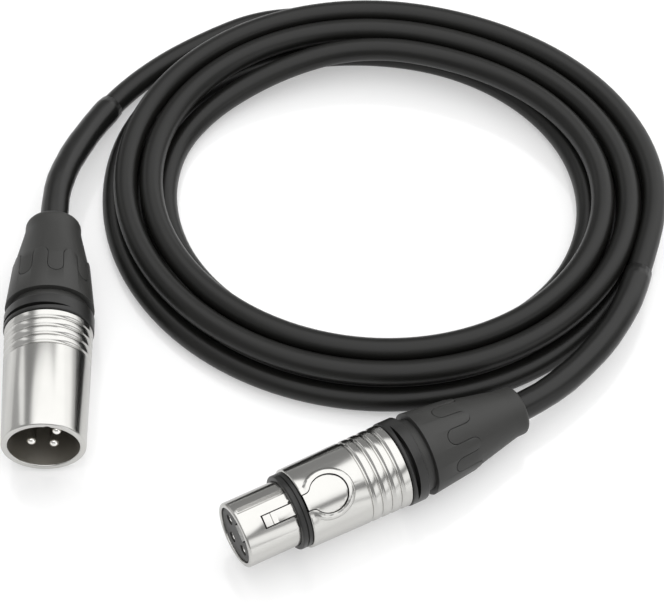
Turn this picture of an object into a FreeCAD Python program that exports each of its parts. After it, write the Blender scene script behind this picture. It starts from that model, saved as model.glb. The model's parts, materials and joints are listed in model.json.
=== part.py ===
import FreeCAD, Part
import os
import re
from math import cos, pi, radians, sin, sqrt, tan

from FreeCAD import Placement, Rotation, Vector

# A microphone cable, coiled and laid on a table, with a three-pole socket connector on one end and
# a three-pole plug connector on the other. Millimetres, +Z up, the table at Z = 0.
# The origin is on the table, under the middle of the box round the two connectors.
# Each connector is built along its own Z axis: its mating face at 0, the cable leaving towards +Z,
# and +X through the latch (socket) or the polarising side (plug).
# Stations are distances from the mating face.

SIZES = {
    # Cable and the shrink sleeves on its two ends
    "cable_radius": 3.0,
    "sleeve_wall": 0.45,
    "sleeve_gap": 0.05,
    "core_radius": 0.55,
    # The coil: the mean loop, and the lanes that its turns lie in
    "loop_half_width": 54.3,
    "loop_half_depth": 48.3,
    "loop_turned": -9.78,
    "loop_centre_across": 28.01,
    "loop_centre_away": 62.87,
    "lane_gap": 0.6,
    "layer_gap": 0.5,
    "drop_bow": 2.0,
    "coil_first_angle": -10,
    "coil_last_angle": 1900,
    # Where each connector lies
    "socket_across": -5.38,
    "socket_away": -42.52,
    "socket_heading": 29.3,
    "socket_nose_up": 3.0,
    "socket_tilt": 27.5,
    "plug_across": -50.81,
    "plug_away": -17.71,
    "plug_heading": 91.9,
    "plug_nose_up": 0.0,
    "plug_tilt": -33.0,
    # Contacts of both connectors
    "contact_circle": 3.81,
    "pin_radius": 1.2,
    "pin_tip": 2.4,
    "pin_shank_extra": 0.25,
    "contact_clearance": 0.05,
    "contact_wall": 0.5,
    "contact_depth": 18.0,
    "hole_clearance": 0.15,
    "cup_depth": 3.0,
    "cup_wall": 0.3,
    "contact_to_chuck": 0.9,
    # Socket connector: nose, insert and collar
    "nose_radius": 7.95,
    "nose_wall": 1.15,
    "nose_chamfer": 0.4,
    "insert_recess": 0.5,
    "insert_clearance": 0.1,
    "insert_lip": 0.6,
    "keyway_depth": 2.95,
    "collar_front": 13.1,
    "collar_length": 2.5,
    "collar_wall": 1.2,
    "collar_line": 0.25,
    "collar_line_depth": 0.3,
    # Socket connector: shell
    "socket_shell_rear": 41.5,
    "shell_front_wall": 1.8,
    "shell_rear_wall": 2.2,
    "shell_lip": 0.3,
    "shell_clearance": 0.1,
    # Socket connector: latch
    "button_inset": 6.1,
    "button_radius": 4.5,
    "button_clearance": 0.35,
    "button_blend": 2.0,
    "rim_width": 2.0,
    "rim_height": 0.35,
    "tongue_half": 1.35,
    "tongue_sunk": 0.15,
    "tongue_thick": 0.8,
    "tongue_front": 5.7,
    "neck_half": 1.9,
    "latch_clearance": 0.25,
    "side_clearance": 0.15,
    "tooth_station": 8.1,
    "tooth_half": 0.7,
    "tooth_height": 0.6,
    "pivot_inset": 11.5,
    "pivot_sunk": 1.2,
    "pivot_radius": 0.6,
    "pivot_clearance": 0.05,
    "pivot_reach": 1.3,
    "barrel_wall": 0.5,
    "barrel_clearance": 0.4,
    "spring_radius": 1.15,
    "spring_wire": 0.28,
    "spring_turns": 6,
    "spring_depth": 1.8,
    # Grip grooves of both shells
    "groove_width": 0.9,
    "groove_depth": 0.5,
    "groove_pitch": 2.4,
    "socket_groove_inset": 10.1,
    "plug_groove_inset": 8.0,
    # Plug connector
    "plug_shell_rear": 33.0,
    "plug_wider": 0.6,
    "plug_mouth_wall": 1.6,
    "mating_clearance": 0.5,
    "plug_face": 15.5,
    "notch_radius": 1.0,
    "notch_sunk": 0.35,
    "notch_angle": 44,
    "notch_length": 14.0,
    # Rear end, the same on both connectors, measured from the rear of the shell
    "ring_step": 0.25,
    "ring_length": 4.4,
    "ring_line": 0.3,
    "ring_line_depth": 0.4,
    "ring_clearance": 0.1,
    "neck_clearance": 0.15,
    "neck_wall": 1.0,
    "neck_reach": 5.5,
    "neck_to_nose": 0.5,
    "neck_to_insert": 1.5,
    "boot_gap_length": 2.4,
    "boot_gap_depth": 0.7,
    "boot_sunk": 0.1,
    "boot_taper": 1.4,
    "boot_hard_length": 12.8,
    "boot_length": 27.0,
    "boot_clearance": 0.4,
    "boot_end_wall": 2.5,
    "boot_end_taper": 0.6,
    "boot_end_length": 1.5,
    "boot_waist": 19.5,
    "boot_waist_wall": 2.7,
    "relief_sunk": 0.35,
    "tongue_start": 5.1,
    "tongue_width": 4.4,
    "tongue_gap": 0.12,
    "chuck_front": 4.1,
    "chuck_rear": 4.5,
    "chuck_clearance": 0.4,
    "chuck_wall": 1.3,
    "chuck_taper": 1.2,
    "chuck_taper_length": 1.5,
    "chuck_grip": 0.05,
    "chuck_slit": 1.0,
    "chuck_slit_length": 3.5,
    "chuck_shoulder": 0.6,
    "jacket_inset": 1.0,
    "core_to_jacket": 0.4,
    "core_to_cup": 0.2,
    "lead_inset": 6.0,
    "lead_straight": 5.0,
}

# Sizes that follow from those above, as sums and differences of their names
FOLLOWING = {
    "nose_bore": "nose_radius - nose_wall",
    "nose_rear": "socket_shell_rear - neck_reach - neck_to_nose",
    "collar_rear": "collar_front + collar_length",
    "collar_radius": "nose_radius + collar_wall",
    "socket_bore": "nose_radius + shell_clearance",
    "plug_bore": "nose_radius + mating_clearance",
    "socket_front_radius": "nose_radius + shell_front_wall",
    "socket_rear_radius": "nose_radius + shell_rear_wall",
    "plug_front_radius": "plug_bore + plug_mouth_wall",
    "plug_rear_radius": "socket_rear_radius + plug_wider",
    "socket_groove": "socket_shell_rear - socket_groove_inset",
    "plug_groove": "plug_shell_rear - plug_groove_inset",
    "keyway_floor": "nose_radius - keyway_depth",
    "tongue_top": "nose_radius - tongue_sunk",
    "tongue_bottom": "tongue_top - tongue_thick",
    "button_station": "collar_rear + button_inset",
    "rim_radius": "button_radius + rim_width",
    "pivot_station": "socket_shell_rear - pivot_inset",
    "pivot_height": "nose_radius - pivot_sunk",
    "pivot_half": "tongue_half + latch_clearance + pivot_reach",
    "barrel_radius": "pivot_radius + pivot_clearance + barrel_wall",
    "spring_floor": "keyway_floor - spring_depth",
    "hole_radius": "pin_radius + hole_clearance",
    "contact_radius": "pin_radius + contact_clearance + contact_wall",
    "contact_front": "insert_recess + insert_lip + insert_clearance",
    "shank_radius": "pin_radius + pin_shank_extra",
    "relief_bore": "cable_radius + sleeve_gap + sleeve_wall + boot_clearance",
}

TONGUES = 8
GROOVES = 4
CONTACT_ANGLES = (90, 180, 270)
ENDS = {"socket": "female", "plug": "male"}

# Free stretches from each boot to the coil: across, away, and height over a cable lying on the table.
SOCKET_LEAD = ((73.2, 3.7, 5.3), (81.6, 12.6, 5.9))
PLUG_LEAD = ((-52.5, 62.8, 7.3), (-49.9, 72.8, 5.6), (-44.7, 85.6, 3.2), (-37.6, 97.5, 1.4),
             (-27.9, 108.0, 0.4), (-16.5, 116.3, 0.0), (-4.3, 123.0, 0.0))
LAST_RUN = 12.0
SLEEVE_RUNS = 4
# How far an arc of a free stretch reaches along the shorter of its two runs
ARC_REACH = 0.45
# Where the coil's turns change lanes, in degrees: every turn of its upper layer moves in from UPPER_SHIFT,
# every turn on the table moves out from LOWER_SHIFT, and the cable drops to the table from DROP_START.
TURNS_IN = 3
TURNS_OUT = (3, 4)
UPPER_SHIFT = 5
LOWER_SHIFT = 95
DROP_START = 815
SHIFT_SPAN = 80
DROP_MIDDLE = DROP_START + SHIFT_SPAN / 2
# Stretches of the coil closer than this along the cable, in diameters, count as neighbours
NEIGHBOURS = 12

doc = FreeCAD.newDocument("cable_coil")
sheet = doc.addObject("Spreadsheet::Sheet", "Sizes")
for row, (name, number) in enumerate(SIZES.items(), start=1):
    sheet.set("A%d" % row, name)
    sheet.set("B%d" % row, str(number))
    sheet.setAlias("B%d" % row, name)
doc.recompute()

pieces = []


def size(name):
    """The number that the sheet holds under a name, or that follows from it."""
    if name not in FOLLOWING:
        return float(sheet.get(name))
    words = ("+ " + FOLLOWING[name]).split()
    return sum(size(word) if sign == "+" else -size(word) for sign, word in zip(words[::2], words[1::2]))


def linked(formula):
    """A formula in plain names, with each name pointed at its cell."""
    def cell(match):
        word = match.group(0)
        if word in FOLLOWING:
            return "(%s)" % linked(FOLLOWING[word])
        return "Sizes." + word if word in SIZES else word
    return re.sub(r"[a-z_]+", cell, str(formula))


def bind(thing, formulas):
    for place, formula in formulas.items():
        thing.setExpression(place, linked(formula))
    return thing


def cylinder(radius, start, end, along="z", x="0", y="0", z="0"):
    """A cylinder from start to end along one axis, through a point given by the other two."""
    thing = doc.addObject("Part::Cylinder", "cylinder")
    turns = {"x": Rotation(Vector(0, 1, 0), 90), "y": Rotation(Vector(1, 0, 0), -90), "z": Rotation()}
    thing.Placement = Placement(Vector(), turns[along])
    place = {"x": x, "y": y, "z": z}
    place[along] = start
    formulas = {"Placement.Base." + axis: formula for axis, formula in place.items()}
    formulas.update({"Radius": radius, "Height": "(%s) - (%s)" % (end, start)})
    return bind(thing, formulas)


def bar(radius, length):
    """A cylinder that stands at the origin until it is placed."""
    return bind(doc.addObject("Part::Cylinder", "bar"), {"Radius": radius, "Height": length})


def cone(first_radius, last_radius, start, end):
    thing = doc.addObject("Part::Cone", "cone")
    return bind(thing, {"Radius1": first_radius, "Radius2": last_radius, "Placement.Base.z": start,
                        "Height": "(%s) - (%s)" % (end, start)})


def sphere(radius, x, y, z):
    thing = doc.addObject("Part::Sphere", "sphere")
    return bind(thing, {"Radius": radius, "Placement.Base.x": x, "Placement.Base.y": y,
                        "Placement.Base.z": z})


def box(bottom, top, half_width, start, end):
    """A box from bottom to top in X, centred in Y, from start to end in Z."""
    thing = doc.addObject("Part::Box", "box")
    return bind(thing, {"Length": "(%s) - (%s)" % (top, bottom), "Width": "2 * (%s)" % half_width,
                        "Height": "(%s) - (%s)" % (end, start), "Placement.Base.x": bottom,
                        "Placement.Base.y": "-(%s)" % half_width, "Placement.Base.z": start})


def fuse(*things):
    if len(things) == 1:
        return things[0]
    whole = doc.addObject("Part::MultiFuse", "fuse")
    whole.Shapes = list(things)
    whole.Refine = True
    return whole


def cut(base, *tools):
    result = doc.addObject("Part::Cut", "cut")
    result.Base = base
    result.Tool = fuse(*tools)
    return result


def common(first, second):
    result = doc.addObject("Part::Common", "common")
    result.Base = first
    result.Tool = second
    return result


def turned_about_axis(thing, angle):
    """The same thing turned about the connector's axis."""
    copy = doc.addObject("Part::Compound", "turned")
    copy.Links = [thing]
    copy.Placement = Placement(Vector(), Rotation(Vector(0, 0, 1), angle))
    return copy


def around(thing, count):
    return [turned_about_axis(thing, 360.0 * index / count) for index in range(count)]


def sub_part(thing, label, placement=Placement()):
    thing.Label = label
    thing.Placement = placement
    pieces.append(thing)
    return thing


def solid_part(shape, label, placement=Placement()):
    thing = doc.addObject("Part::Feature", label)
    thing.Shape = shape
    return sub_part(thing, label, placement)


def resting_height(end, nose_up):
    """How high the mating face's middle lies when the ring or the boot's front edge is on the table."""
    rear_radius = size(end + "_rear_radius") + size("ring_step")
    ring_front = size(end + "_shell_rear")
    ring_rear = ring_front + size("ring_length")
    boot_front = ring_rear + size("boot_gap_length")
    touching = ((rear_radius, ring_front), (rear_radius, ring_rear),
                (rear_radius - size("boot_sunk"), boot_front))
    return max(radius * cos(nose_up) + station * sin(nose_up) for radius, station in touching)


def connector_placement(end):
    """Local Z along the connector, local X through its latch or polarising side."""
    heading = radians(size(end + "_heading"))
    nose_up = radians(size(end + "_nose_up"))
    tilt = radians(size(end + "_tilt"))
    rearward = Vector(cos(heading) * cos(nose_up), sin(heading) * cos(nose_up), -sin(nose_up))
    level = Vector(sin(heading), -cos(heading), 0)
    upright = level.cross(rearward)
    upper = level * sin(tilt) + upright * cos(tilt)
    base = Vector(size(end + "_across"), size(end + "_away"), resting_height(end, nose_up))
    return Placement(base, Rotation(upper, rearward.cross(upper), rearward, "ZXY"))


def contact_centres():
    """Centres of the three contacts, as formulas in X and Y."""
    for angle in CONTACT_ANGLES:
        yield ("contact_circle * %d" % round(cos(radians(angle))),
               "contact_circle * %d" % round(sin(radians(angle))))


def shell_cone(end, start, raised="0"):
    """The outside of a shell as a cone, or a surface that much further out."""
    return cone("%s_front_radius + %s" % (end, raised), "%s_rear_radius + %s" % (end, raised),
                start, "%s_shell_rear" % end)


def grip_grooves(end):
    """Rings that cut a row of shallow grooves round a shell."""
    rings = []
    for index in range(GROOVES):
        start = "%s_groove + %d * groove_pitch" % (end, index)
        outer = cylinder("%s_rear_radius + 1" % end, start, start + " + groove_width")
        inner = cylinder("%s_rear_radius - groove_depth" % end, start + " - 1", start + " + groove_width + 1")
        rings.append(cut(outer, inner))
    return rings


# Socket connector

def pear(clearance, bottom, top):
    """The outline of button and neck as an upright block: a round, a bar, and a blend between them."""
    side = "neck_half + button_blend"
    back = "sqrt((button_radius + button_blend) ^ 2 - (%s) ^ 2)" % side
    share = "button_radius / (button_radius + button_blend)"
    start = "button_station - (%s)" % back
    wedge = cut(box(bottom, top, "(%s) * (%s)" % (side, share), start, "button_station"),
                cylinder("button_blend - (%s)" % clearance, bottom + " - 1", top + " + 1", "x",
                         y=side, z=start),
                cylinder("button_blend - (%s)" % clearance, bottom + " - 1", top + " + 1", "x",
                         y="-(%s)" % side, z=start))
    return fuse(cylinder("button_radius + (%s)" % clearance, bottom, top, "x", z="button_station"),
                box(bottom, top, "neck_half + (%s)" % clearance, "collar_rear", "button_station"), wedge)


def socket_nose(placement):
    """The metal tube that the other connector takes, slotted for the latch."""
    tube = fuse(cone("nose_radius - nose_chamfer", "nose_radius", "0", "nose_chamfer"),
                cylinder("nose_radius", "nose_chamfer", "nose_rear"))
    far = "nose_radius + 2"
    slot_half = "tongue_half + latch_clearance"
    pin_hole = "pivot_radius + pivot_clearance"
    sub_part(cut(tube,
                 cylinder("nose_bore", "-1", "socket_shell_rear"),
                 box("keyway_floor", far, slot_half, "tongue_front - barrel_clearance",
                     "pivot_station + barrel_radius + barrel_clearance"),
                 pear("button_clearance", "keyway_floor", far),
                 cylinder(pin_hole, "-(pivot_half + pivot_clearance)", "pivot_half + pivot_clearance",
                          "y", x="pivot_height", z="pivot_station")),
             "female_nose", placement)


def socket_insert(placement):
    """The moulding that holds the three contacts, with the keyway along its latch side."""
    rear = "socket_shell_rear - neck_reach - neck_to_insert"
    top = "nose_radius"
    tools = [box("keyway_floor", top, "tongue_half + latch_clearance + side_clearance", "-1",
                 "pivot_station + barrel_radius + barrel_clearance + side_clearance"),
             pear("button_clearance + side_clearance", "keyway_floor", top),
             cylinder("spring_radius + spring_wire + side_clearance", "spring_floor", top, "x",
                      z="button_station"),
             cylinder("pivot_radius + latch_clearance", "-nose_radius", "nose_radius", "y",
                      x="pivot_height", z="pivot_station")]
    lip_end = "insert_recess + insert_lip"
    for x, y in contact_centres():
        tools.append(cylinder("hole_radius", "-1", lip_end + " + 1", x=x, y=y))
        tools.append(cylinder("contact_radius + contact_clearance", lip_end, rear + " + 1", x=x, y=y))
    sub_part(cut(cylinder("nose_bore - insert_clearance", "insert_recess", rear), *tools),
             "female_insert", placement)


def socket_contacts(placement):
    """Three sleeves that take the pins, each with a solder cup at its rear end."""
    rear = "socket_shell_rear - chuck_front - contact_to_chuck"
    for index, (x, y) in enumerate(contact_centres(), start=1):
        body = cylinder("contact_radius", "contact_front", rear, x=x, y=y)
        bore = cylinder("pin_radius + contact_clearance", "contact_front - 1",
                        "contact_front + contact_depth", x=x, y=y)
        cup = cylinder("contact_radius - cup_wall", rear + " - cup_depth", rear + " + 1", x=x, y=y)
        sub_part(cut(body, bore, cup), "female_contact_%d" % index, placement)


def lined_ring(radius, start, end, middle, line, depth):
    """A ring with a fine line cut round it."""
    return fuse(cylinder(radius, start, "%s - %s / 2" % (middle, line)),
                cylinder("%s - %s" % (radius, depth), start, end),
                cylinder(radius, "%s + %s / 2" % (middle, line), end))


def socket_collar(placement):
    """The black ring in front of the shell, with a fine line round it."""
    ring = lined_ring("collar_radius", "collar_front", "collar_rear", "(collar_front + collar_rear) / 2",
                      "collar_line", "collar_line_depth")
    sub_part(cut(ring, cylinder("socket_bore", "0", "collar_rear + 1")), "female_collar", placement)


def socket_shell(placement):
    """The metal body: a slight cone, a low rim round the button and four grip grooves."""
    far = "socket_rear_radius + rim_height + 2"
    lip = cone("socket_front_radius - shell_lip", "socket_front_radius + 1", "collar_rear",
               "collar_rear + shell_lip + 1")
    body = fuse(shell_cone("socket", "collar_rear"),
                common(cylinder("rim_radius", "keyway_floor", far, "x", z="button_station"),
                       shell_cone("socket", "collar_rear", "rim_height")))
    lipped = common(body, fuse(lip, cylinder(far, "collar_rear + shell_lip + 1", "socket_shell_rear")))
    sub_part(cut(lipped,
                 cylinder("socket_bore", "0", "socket_shell_rear + 1"),
                 pear("button_clearance", "0", far),
                 *grip_grooves("socket")),
             "female_shell", placement)


def socket_latch(placement):
    """Button, neck and sprung tongue in one piece, with the tooth and the barrel it turns on."""
    front = "collar_rear + barrel_clearance"
    top = common(pear("0", "tongue_bottom", "socket_rear_radius + 1"), shell_cone("socket", front))
    body = fuse(box("tongue_bottom", "tongue_top", "tongue_half", "tongue_front", "pivot_station"),
                box("tongue_bottom", "tongue_top + tooth_height", "tongue_half",
                    "tooth_station - tooth_half", "tooth_station + tooth_half"),
                top,
                cylinder("barrel_radius", "-tongue_half", "tongue_half", "y", x="pivot_height",
                         z="pivot_station"))
    sub_part(cut(body, cylinder("pivot_radius + pivot_clearance", "-nose_radius", "nose_radius", "y",
                                x="pivot_height", z="pivot_station")),
             "female_latch", placement)
    pin_start = Vector(size("pivot_height"), -size("pivot_half"), size("pivot_station"))
    sub_part(bar("pivot_radius", "2 * pivot_half"), "female_latch_pin",
             placement * Placement(pin_start, Rotation(Vector(1, 0, 0), -90)))


def latch_spring(placement):
    """A small compression spring between the insert and the button."""
    low = size("spring_floor") + size("spring_wire")
    high = size("tongue_bottom") - size("spring_wire") / 2 - size("pivot_clearance")
    pitch = (high - low) / size("spring_turns")
    radius = size("spring_radius")
    helix = Part.makeHelix(pitch, high - low, radius)
    section = Part.Wire(Part.makeCircle(size("spring_wire") / 2, Vector(radius, 0, 0), Vector(0, 1, 0)))
    spring = Part.Wire(helix.Edges).makePipeShell([section], True, True)
    upright = Placement(Vector(low, 0, size("button_station")), Rotation(Vector(0, 1, 0), 90))
    solid_part(spring, "female_latch_spring", placement * upright)


# Plug connector

def plug_shell(placement):
    """The open metal tube round the pins, with four grip grooves and a notch in its mouth."""
    lip = cone("plug_front_radius - shell_lip", "plug_front_radius + 1", "0", "shell_lip + 1")
    lipped = common(shell_cone("plug", "0"),
                    fuse(lip, cylinder("plug_rear_radius + 1", "shell_lip + 1", "plug_shell_rear")))
    notch = cylinder("notch_radius", "-1", "notch_length", x="plug_bore - notch_sunk")
    sub_part(cut(lipped, cylinder("plug_bore", "-1", "plug_shell_rear + 1"),
                 turned_about_axis(notch, size("notch_angle")), *grip_grooves("plug")),
             "male_shell", placement)


def plug_insert(placement):
    """The disc that the three pins stand in."""
    rear = "plug_shell_rear - neck_reach - neck_to_nose"
    holes = [cylinder("shank_radius + contact_clearance", "0", "plug_shell_rear", x=x, y=y)
             for x, y in contact_centres()]
    sub_part(cut(cylinder("plug_bore - insert_clearance", "plug_face", rear), *holes),
             "male_insert", placement)


def plug_pins(placement):
    """Three round-nosed pins, each with a thicker shank in the disc and a solder cup behind it."""
    rear = "plug_shell_rear - chuck_front - contact_to_chuck"
    shank_rear = "plug_shell_rear - neck_reach - neck_to_nose"
    for index, (x, y) in enumerate(contact_centres(), start=1):
        pin = fuse(sphere("pin_radius", x, y, "pin_tip + pin_radius"),
                   cylinder("pin_radius", "pin_tip + pin_radius", rear, x=x, y=y),
                   cylinder("shank_radius", "plug_face", shank_rear, x=x, y=y))
        cup = cylinder("pin_radius - cup_wall", rear + " - cup_depth", rear + " + 1", x=x, y=y)
        sub_part(cut(pin, cup), "male_pin_%d" % index, placement)


# Rear end of both connectors: the same pieces, as wide as their own shell

def boot_ring(end, placement):
    """The loose coloured ring between shell and boot, with a fine line round it."""
    front = "%s_shell_rear + contact_clearance" % end
    rear = "%s_shell_rear + ring_length - ring_clearance" % end
    ring = lined_ring("%s_rear_radius + ring_step" % end, front, rear,
                      "%s_shell_rear + ring_length / 2 - ring_line / 2" % end,
                      "ring_line", "ring_line_depth")
    bore = cylinder("%s_bore - neck_clearance + ring_clearance" % end, "0", rear + " + 1")
    sub_part(cut(ring, bore), ENDS[end] + "_boot_ring", placement)


def slot_block(bottom, top, half_width, start, end):
    """A block with a round front end, for the slots of the nut and the tongues in them."""
    return fuse(box(bottom, top, half_width, "%s + %s" % (start, half_width), end),
                cylinder(half_width, bottom, top, "x", z="%s + %s" % (start, half_width)))


def boot(end, placement):
    """The hard nut that screws into the shell; eight slots in it take the soft part's tongues."""
    gap_front = "%s_shell_rear + ring_length" % end
    front = gap_front + " + boot_gap_length"
    hard_end = front + " + boot_hard_length"
    neck = "%s_bore - neck_clearance" % end
    radius = "%s_rear_radius + ring_step - boot_sunk" % end
    body = fuse(cylinder(neck, "%s_shell_rear - neck_reach" % end, front),
                cylinder(radius + " - boot_gap_depth", gap_front, front),
                cone(radius, radius + " - boot_taper", front, hard_end))
    slot = slot_block("%s - neck_wall - 1" % neck, radius + " + 2", "tongue_width / 2",
                      front + " + tongue_start", hard_end + " + 1")
    sub_part(cut(body, cylinder(neck + " - neck_wall", "0", hard_end + " + 1"), *around(slot, TONGUES)),
             ENDS[end] + "_boot", placement)


def boot_relief(end, placement):
    """The soft tapered part that keeps the cable from kinking, its tongues held in the nut."""
    front = "%s_shell_rear + ring_length + boot_gap_length" % end
    hard_end = front + " + boot_hard_length"
    waist = front + " + boot_waist"
    rear = front + " + boot_length"
    inner = "%s_bore - neck_clearance - neck_wall" % end
    radius = "%s_rear_radius + ring_step - boot_sunk" % end
    wider = "%s_rear_radius - socket_rear_radius" % end
    tongue = slot_block(inner + " - 1", radius + " + 2", "(tongue_width / 2 - tongue_gap)",
                        front + " + tongue_start + tongue_gap", hard_end + " + tongue_gap + tongue_gap")
    tongues = common(cone(radius, radius + " - boot_taper", front, hard_end), fuse(*around(tongue, TONGUES)))
    end_radius = "relief_bore + boot_end_wall + " + wider
    body = fuse(tongues,
                cylinder(inner + " - tongue_gap", front + " + tongue_start - neck_wall", hard_end + " + 1"),
                cone(radius + " - boot_taper - relief_sunk", "relief_bore + boot_waist_wall + " + wider,
                     hard_end + " + tongue_gap", waist),
                cone("relief_bore + boot_waist_wall + " + wider, end_radius, waist,
                     rear + " - boot_end_length"),
                cone(end_radius, end_radius + " - boot_end_taper", rear + " - boot_end_length", rear))
    sub_part(cut(body, cylinder("relief_bore", "0", rear + " + 1")), ENDS[end] + "_boot_relief", placement)


def chuck(end, placement):
    """The slit collet that clamps the cable inside the neck of the boot."""
    shell_rear = "%s_shell_rear" % end
    front = shell_rear + " - chuck_front"
    rear = shell_rear + " + chuck_rear"
    radius = "%s_bore - neck_clearance - neck_wall - chuck_clearance" % end
    body = fuse(cylinder(radius, front, rear + " - chuck_taper_length"),
                cone(radius, radius + " - chuck_taper", rear + " - chuck_taper_length", rear))
    slit = box("-(nose_radius)", "nose_radius", "chuck_slit / 2", rear + " - chuck_slit_length",
               rear + " + 1")
    shoulder = shell_rear + " - jacket_inset + chuck_shoulder"
    sub_part(cut(body, cylinder(radius + " - chuck_wall", "0", shoulder),
                 cylinder("cable_radius + chuck_grip", "0", rear + " + 1"),
                 slit, turned_about_axis(slit, 90)),
             ENDS[end] + "_chuck", placement)


def cable_end(end, placement):
    """The jacketed cable inside the connector, and its three cores running to the contacts."""
    shell_rear = "%s_shell_rear" % end
    jacket = size(shell_rear) - size("jacket_inset")
    length = "ring_length + boot_gap_length + boot_length - lead_inset + jacket_inset"
    sub_part(bar("cable_radius", length), ENDS[end] + "_cable_end",
             placement * Placement(Vector(0, 0, jacket), Rotation()))
    cup = size(shell_rear) - size("chuck_front") - size("contact_to_chuck") + size("core_to_cup")
    cores = []
    for angle in CONTACT_ANGLES:
        outward = Vector(cos(radians(angle)), sin(radians(angle)), 0)
        first = outward * (size("cable_radius") / 2) + Vector(0, 0, jacket - size("core_to_jacket"))
        last = outward * size("contact_circle") + Vector(0, 0, cup)
        run = last - first
        cores.append(Part.makeCylinder(size("core_radius"), run.Length, first, run))
    solid_part(Part.makeCompound(cores), ENDS[end] + "_cores", placement)


# Cable outside the connectors

def arc_between(first, corner, last):
    """An arc tangent to both legs of a corner; the legs are equally long."""
    half_turn = (corner - first).getAngle(last - corner) / 2
    middle = (first + last) * 0.5
    crown = middle + (corner - middle) * (cos(half_turn) / (1 + cos(half_turn)))
    return Part.Arc(first, crown, last).toShape()


def rounded_route(points, label):
    """Straight runs joined by tangent arcs, each as large as its two runs allow."""
    edges = []
    radii = []
    last = points[0]
    for before, corner, after in zip(points, points[1:], points[2:]):
        reach = ARC_REACH * min((corner - before).Length, (after - corner).Length)
        turn = (corner - before).getAngle(after - corner)
        arrive = corner + (before - corner).normalize() * reach
        leave = corner + (after - corner).normalize() * reach
        edges += [Part.LineSegment(last, arrive).toShape(), arc_between(arrive, corner, leave)]
        radii.append(reach / tan(turn / 2))
        last = leave
    edges.append(Part.LineSegment(last, points[-1]).toShape())
    print(label, "radii", " ".join("%.0f" % radius for radius in radii))
    return edges


def swept_tube(edges, radius):
    """A solid round bar along edges that follow each other without a corner."""
    wire = Part.Wire(edges)
    start = edges[0].valueAt(edges[0].FirstParameter)
    section = Part.Wire(Part.makeCircle(radius, start, edges[0].tangentAt(edges[0].FirstParameter)))
    return wire.makePipeShell([section], True, False)


def report_volume(shape, edges, area, label):
    length = sum(edge.Length for edge in edges)
    print(label, "length %.1f mm, volume over section times length %.4f"
          % (length, shape.Volume / (area * length)))


def smooth(share):
    share = min(1.0, max(0.0, share))
    return share * share * (3 - 2 * share)


def coil_point(angle):
    """A point of the coil's centre line.

    The cable starts on the outermost of the upper lanes, moves in by one lane in the first quarter
    of each turn, drops to the table after the third one and works its way out again. The angle
    runs on from turn to turn.
    """
    low = size("cable_radius")
    pitch = 2 * low + size("lane_gap")
    high = 3 * low + size("layer_gap")
    steps_in = sum(smooth((angle - 360 * turn - UPPER_SHIFT) / SHIFT_SPAN) for turn in range(TURNS_IN))
    steps_out = sum(smooth((angle - 360 * turn - LOWER_SHIFT) / SHIFT_SPAN) for turn in TURNS_OUT)
    share = (angle - DROP_START) / SHIFT_SPAN
    down = smooth(share)
    bow = size("drop_bow") * sin(pi * min(1.0, max(0.0, share))) ** 2
    out = pitch * (TURNS_IN - 0.5 - steps_in) * (1 - down) + pitch * steps_out * down - bow
    height = high + (low - high) * down
    width, depth = size("loop_half_width"), size("loop_half_depth")
    x, y = width * cos(radians(angle)), depth * sin(radians(angle))
    normal = Vector(depth * cos(radians(angle)), width * sin(radians(angle)), 0).normalize()
    centre = Vector(size("loop_centre_across"), size("loop_centre_away"), 0)
    turned = Rotation(Vector(0, 0, 1), size("loop_turned"))
    return centre + turned.multVec(Vector(x, y, 0) + normal * out) + Vector(0, 0, height)


def coil_direction(angle):
    return (coil_point(angle + 0.05) - coil_point(angle - 0.05)).normalize()


def biarc(first, first_way, last, last_way):
    """Two arcs that leave one point and reach another in the given directions."""
    across = last - first
    both = first_way + last_way
    spread = 2 * (1 - first_way.dot(last_way))
    along = across.dot(both)
    leg = (-along + sqrt(along ** 2 + spread * across.dot(across))) / spread
    corner_one = first + first_way * leg
    corner_two = last - last_way * leg
    join = (corner_one + corner_two) * 0.5
    return [arc_between(first, corner_one, join), arc_between(join, corner_two, last)]


def coil_angles():
    """One station per quarter turn, and one halfway down the drop to the table."""
    quarters = range(0, int(size("coil_last_angle")) - 45, 90)
    return [size("coil_first_angle")] + sorted([*quarters, DROP_MIDDLE]) + [size("coil_last_angle")]


def coil_ends():
    """The two end faces of the coil, each a straight diameter beyond the first and last turn."""
    straight = 2 * size("cable_radius")
    first, last = size("coil_first_angle"), size("coil_last_angle")
    return (coil_point(first) - coil_direction(first) * straight,
            coil_point(last) + coil_direction(last) * straight)


def coil():
    angles = coil_angles()
    start, finish = coil_ends()
    edges = [Part.LineSegment(start, coil_point(angles[0])).toShape()]
    for first, last in zip(angles, angles[1:]):
        edges += biarc(coil_point(first), coil_direction(first), coil_point(last), coil_direction(last))
    edges.append(Part.LineSegment(coil_point(angles[-1]), finish).toShape())
    radius = size("cable_radius")
    shape = swept_tube(edges, radius)
    report_volume(shape, edges, pi * radius ** 2, "coil")
    report_least_gap(edges, 2 * radius)
    solid_part(shape, "coil")


def report_least_gap(edges, diameter):
    """Measures the coil against itself on points a millimetre apart along its centre line."""
    points = []
    for edge in edges:
        count = max(2, int(edge.Length))
        points += edge.discretize(count + 1)[:-1]
    travelled = [0.0]
    for first, last in zip(points, points[1:]):
        travelled.append(travelled[-1] + first.distanceToPoint(last))
    least = min(points[i].distanceToPoint(points[j])
                for i in range(len(points)) for j in range(i + 1, len(points))
                if travelled[j] - travelled[i] > NEIGHBOURS * diameter)
    print("coil least gap to itself %.2f mm, least height %.2f mm"
          % (least - diameter, min(point.z for point in points) - diameter / 2))


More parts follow.
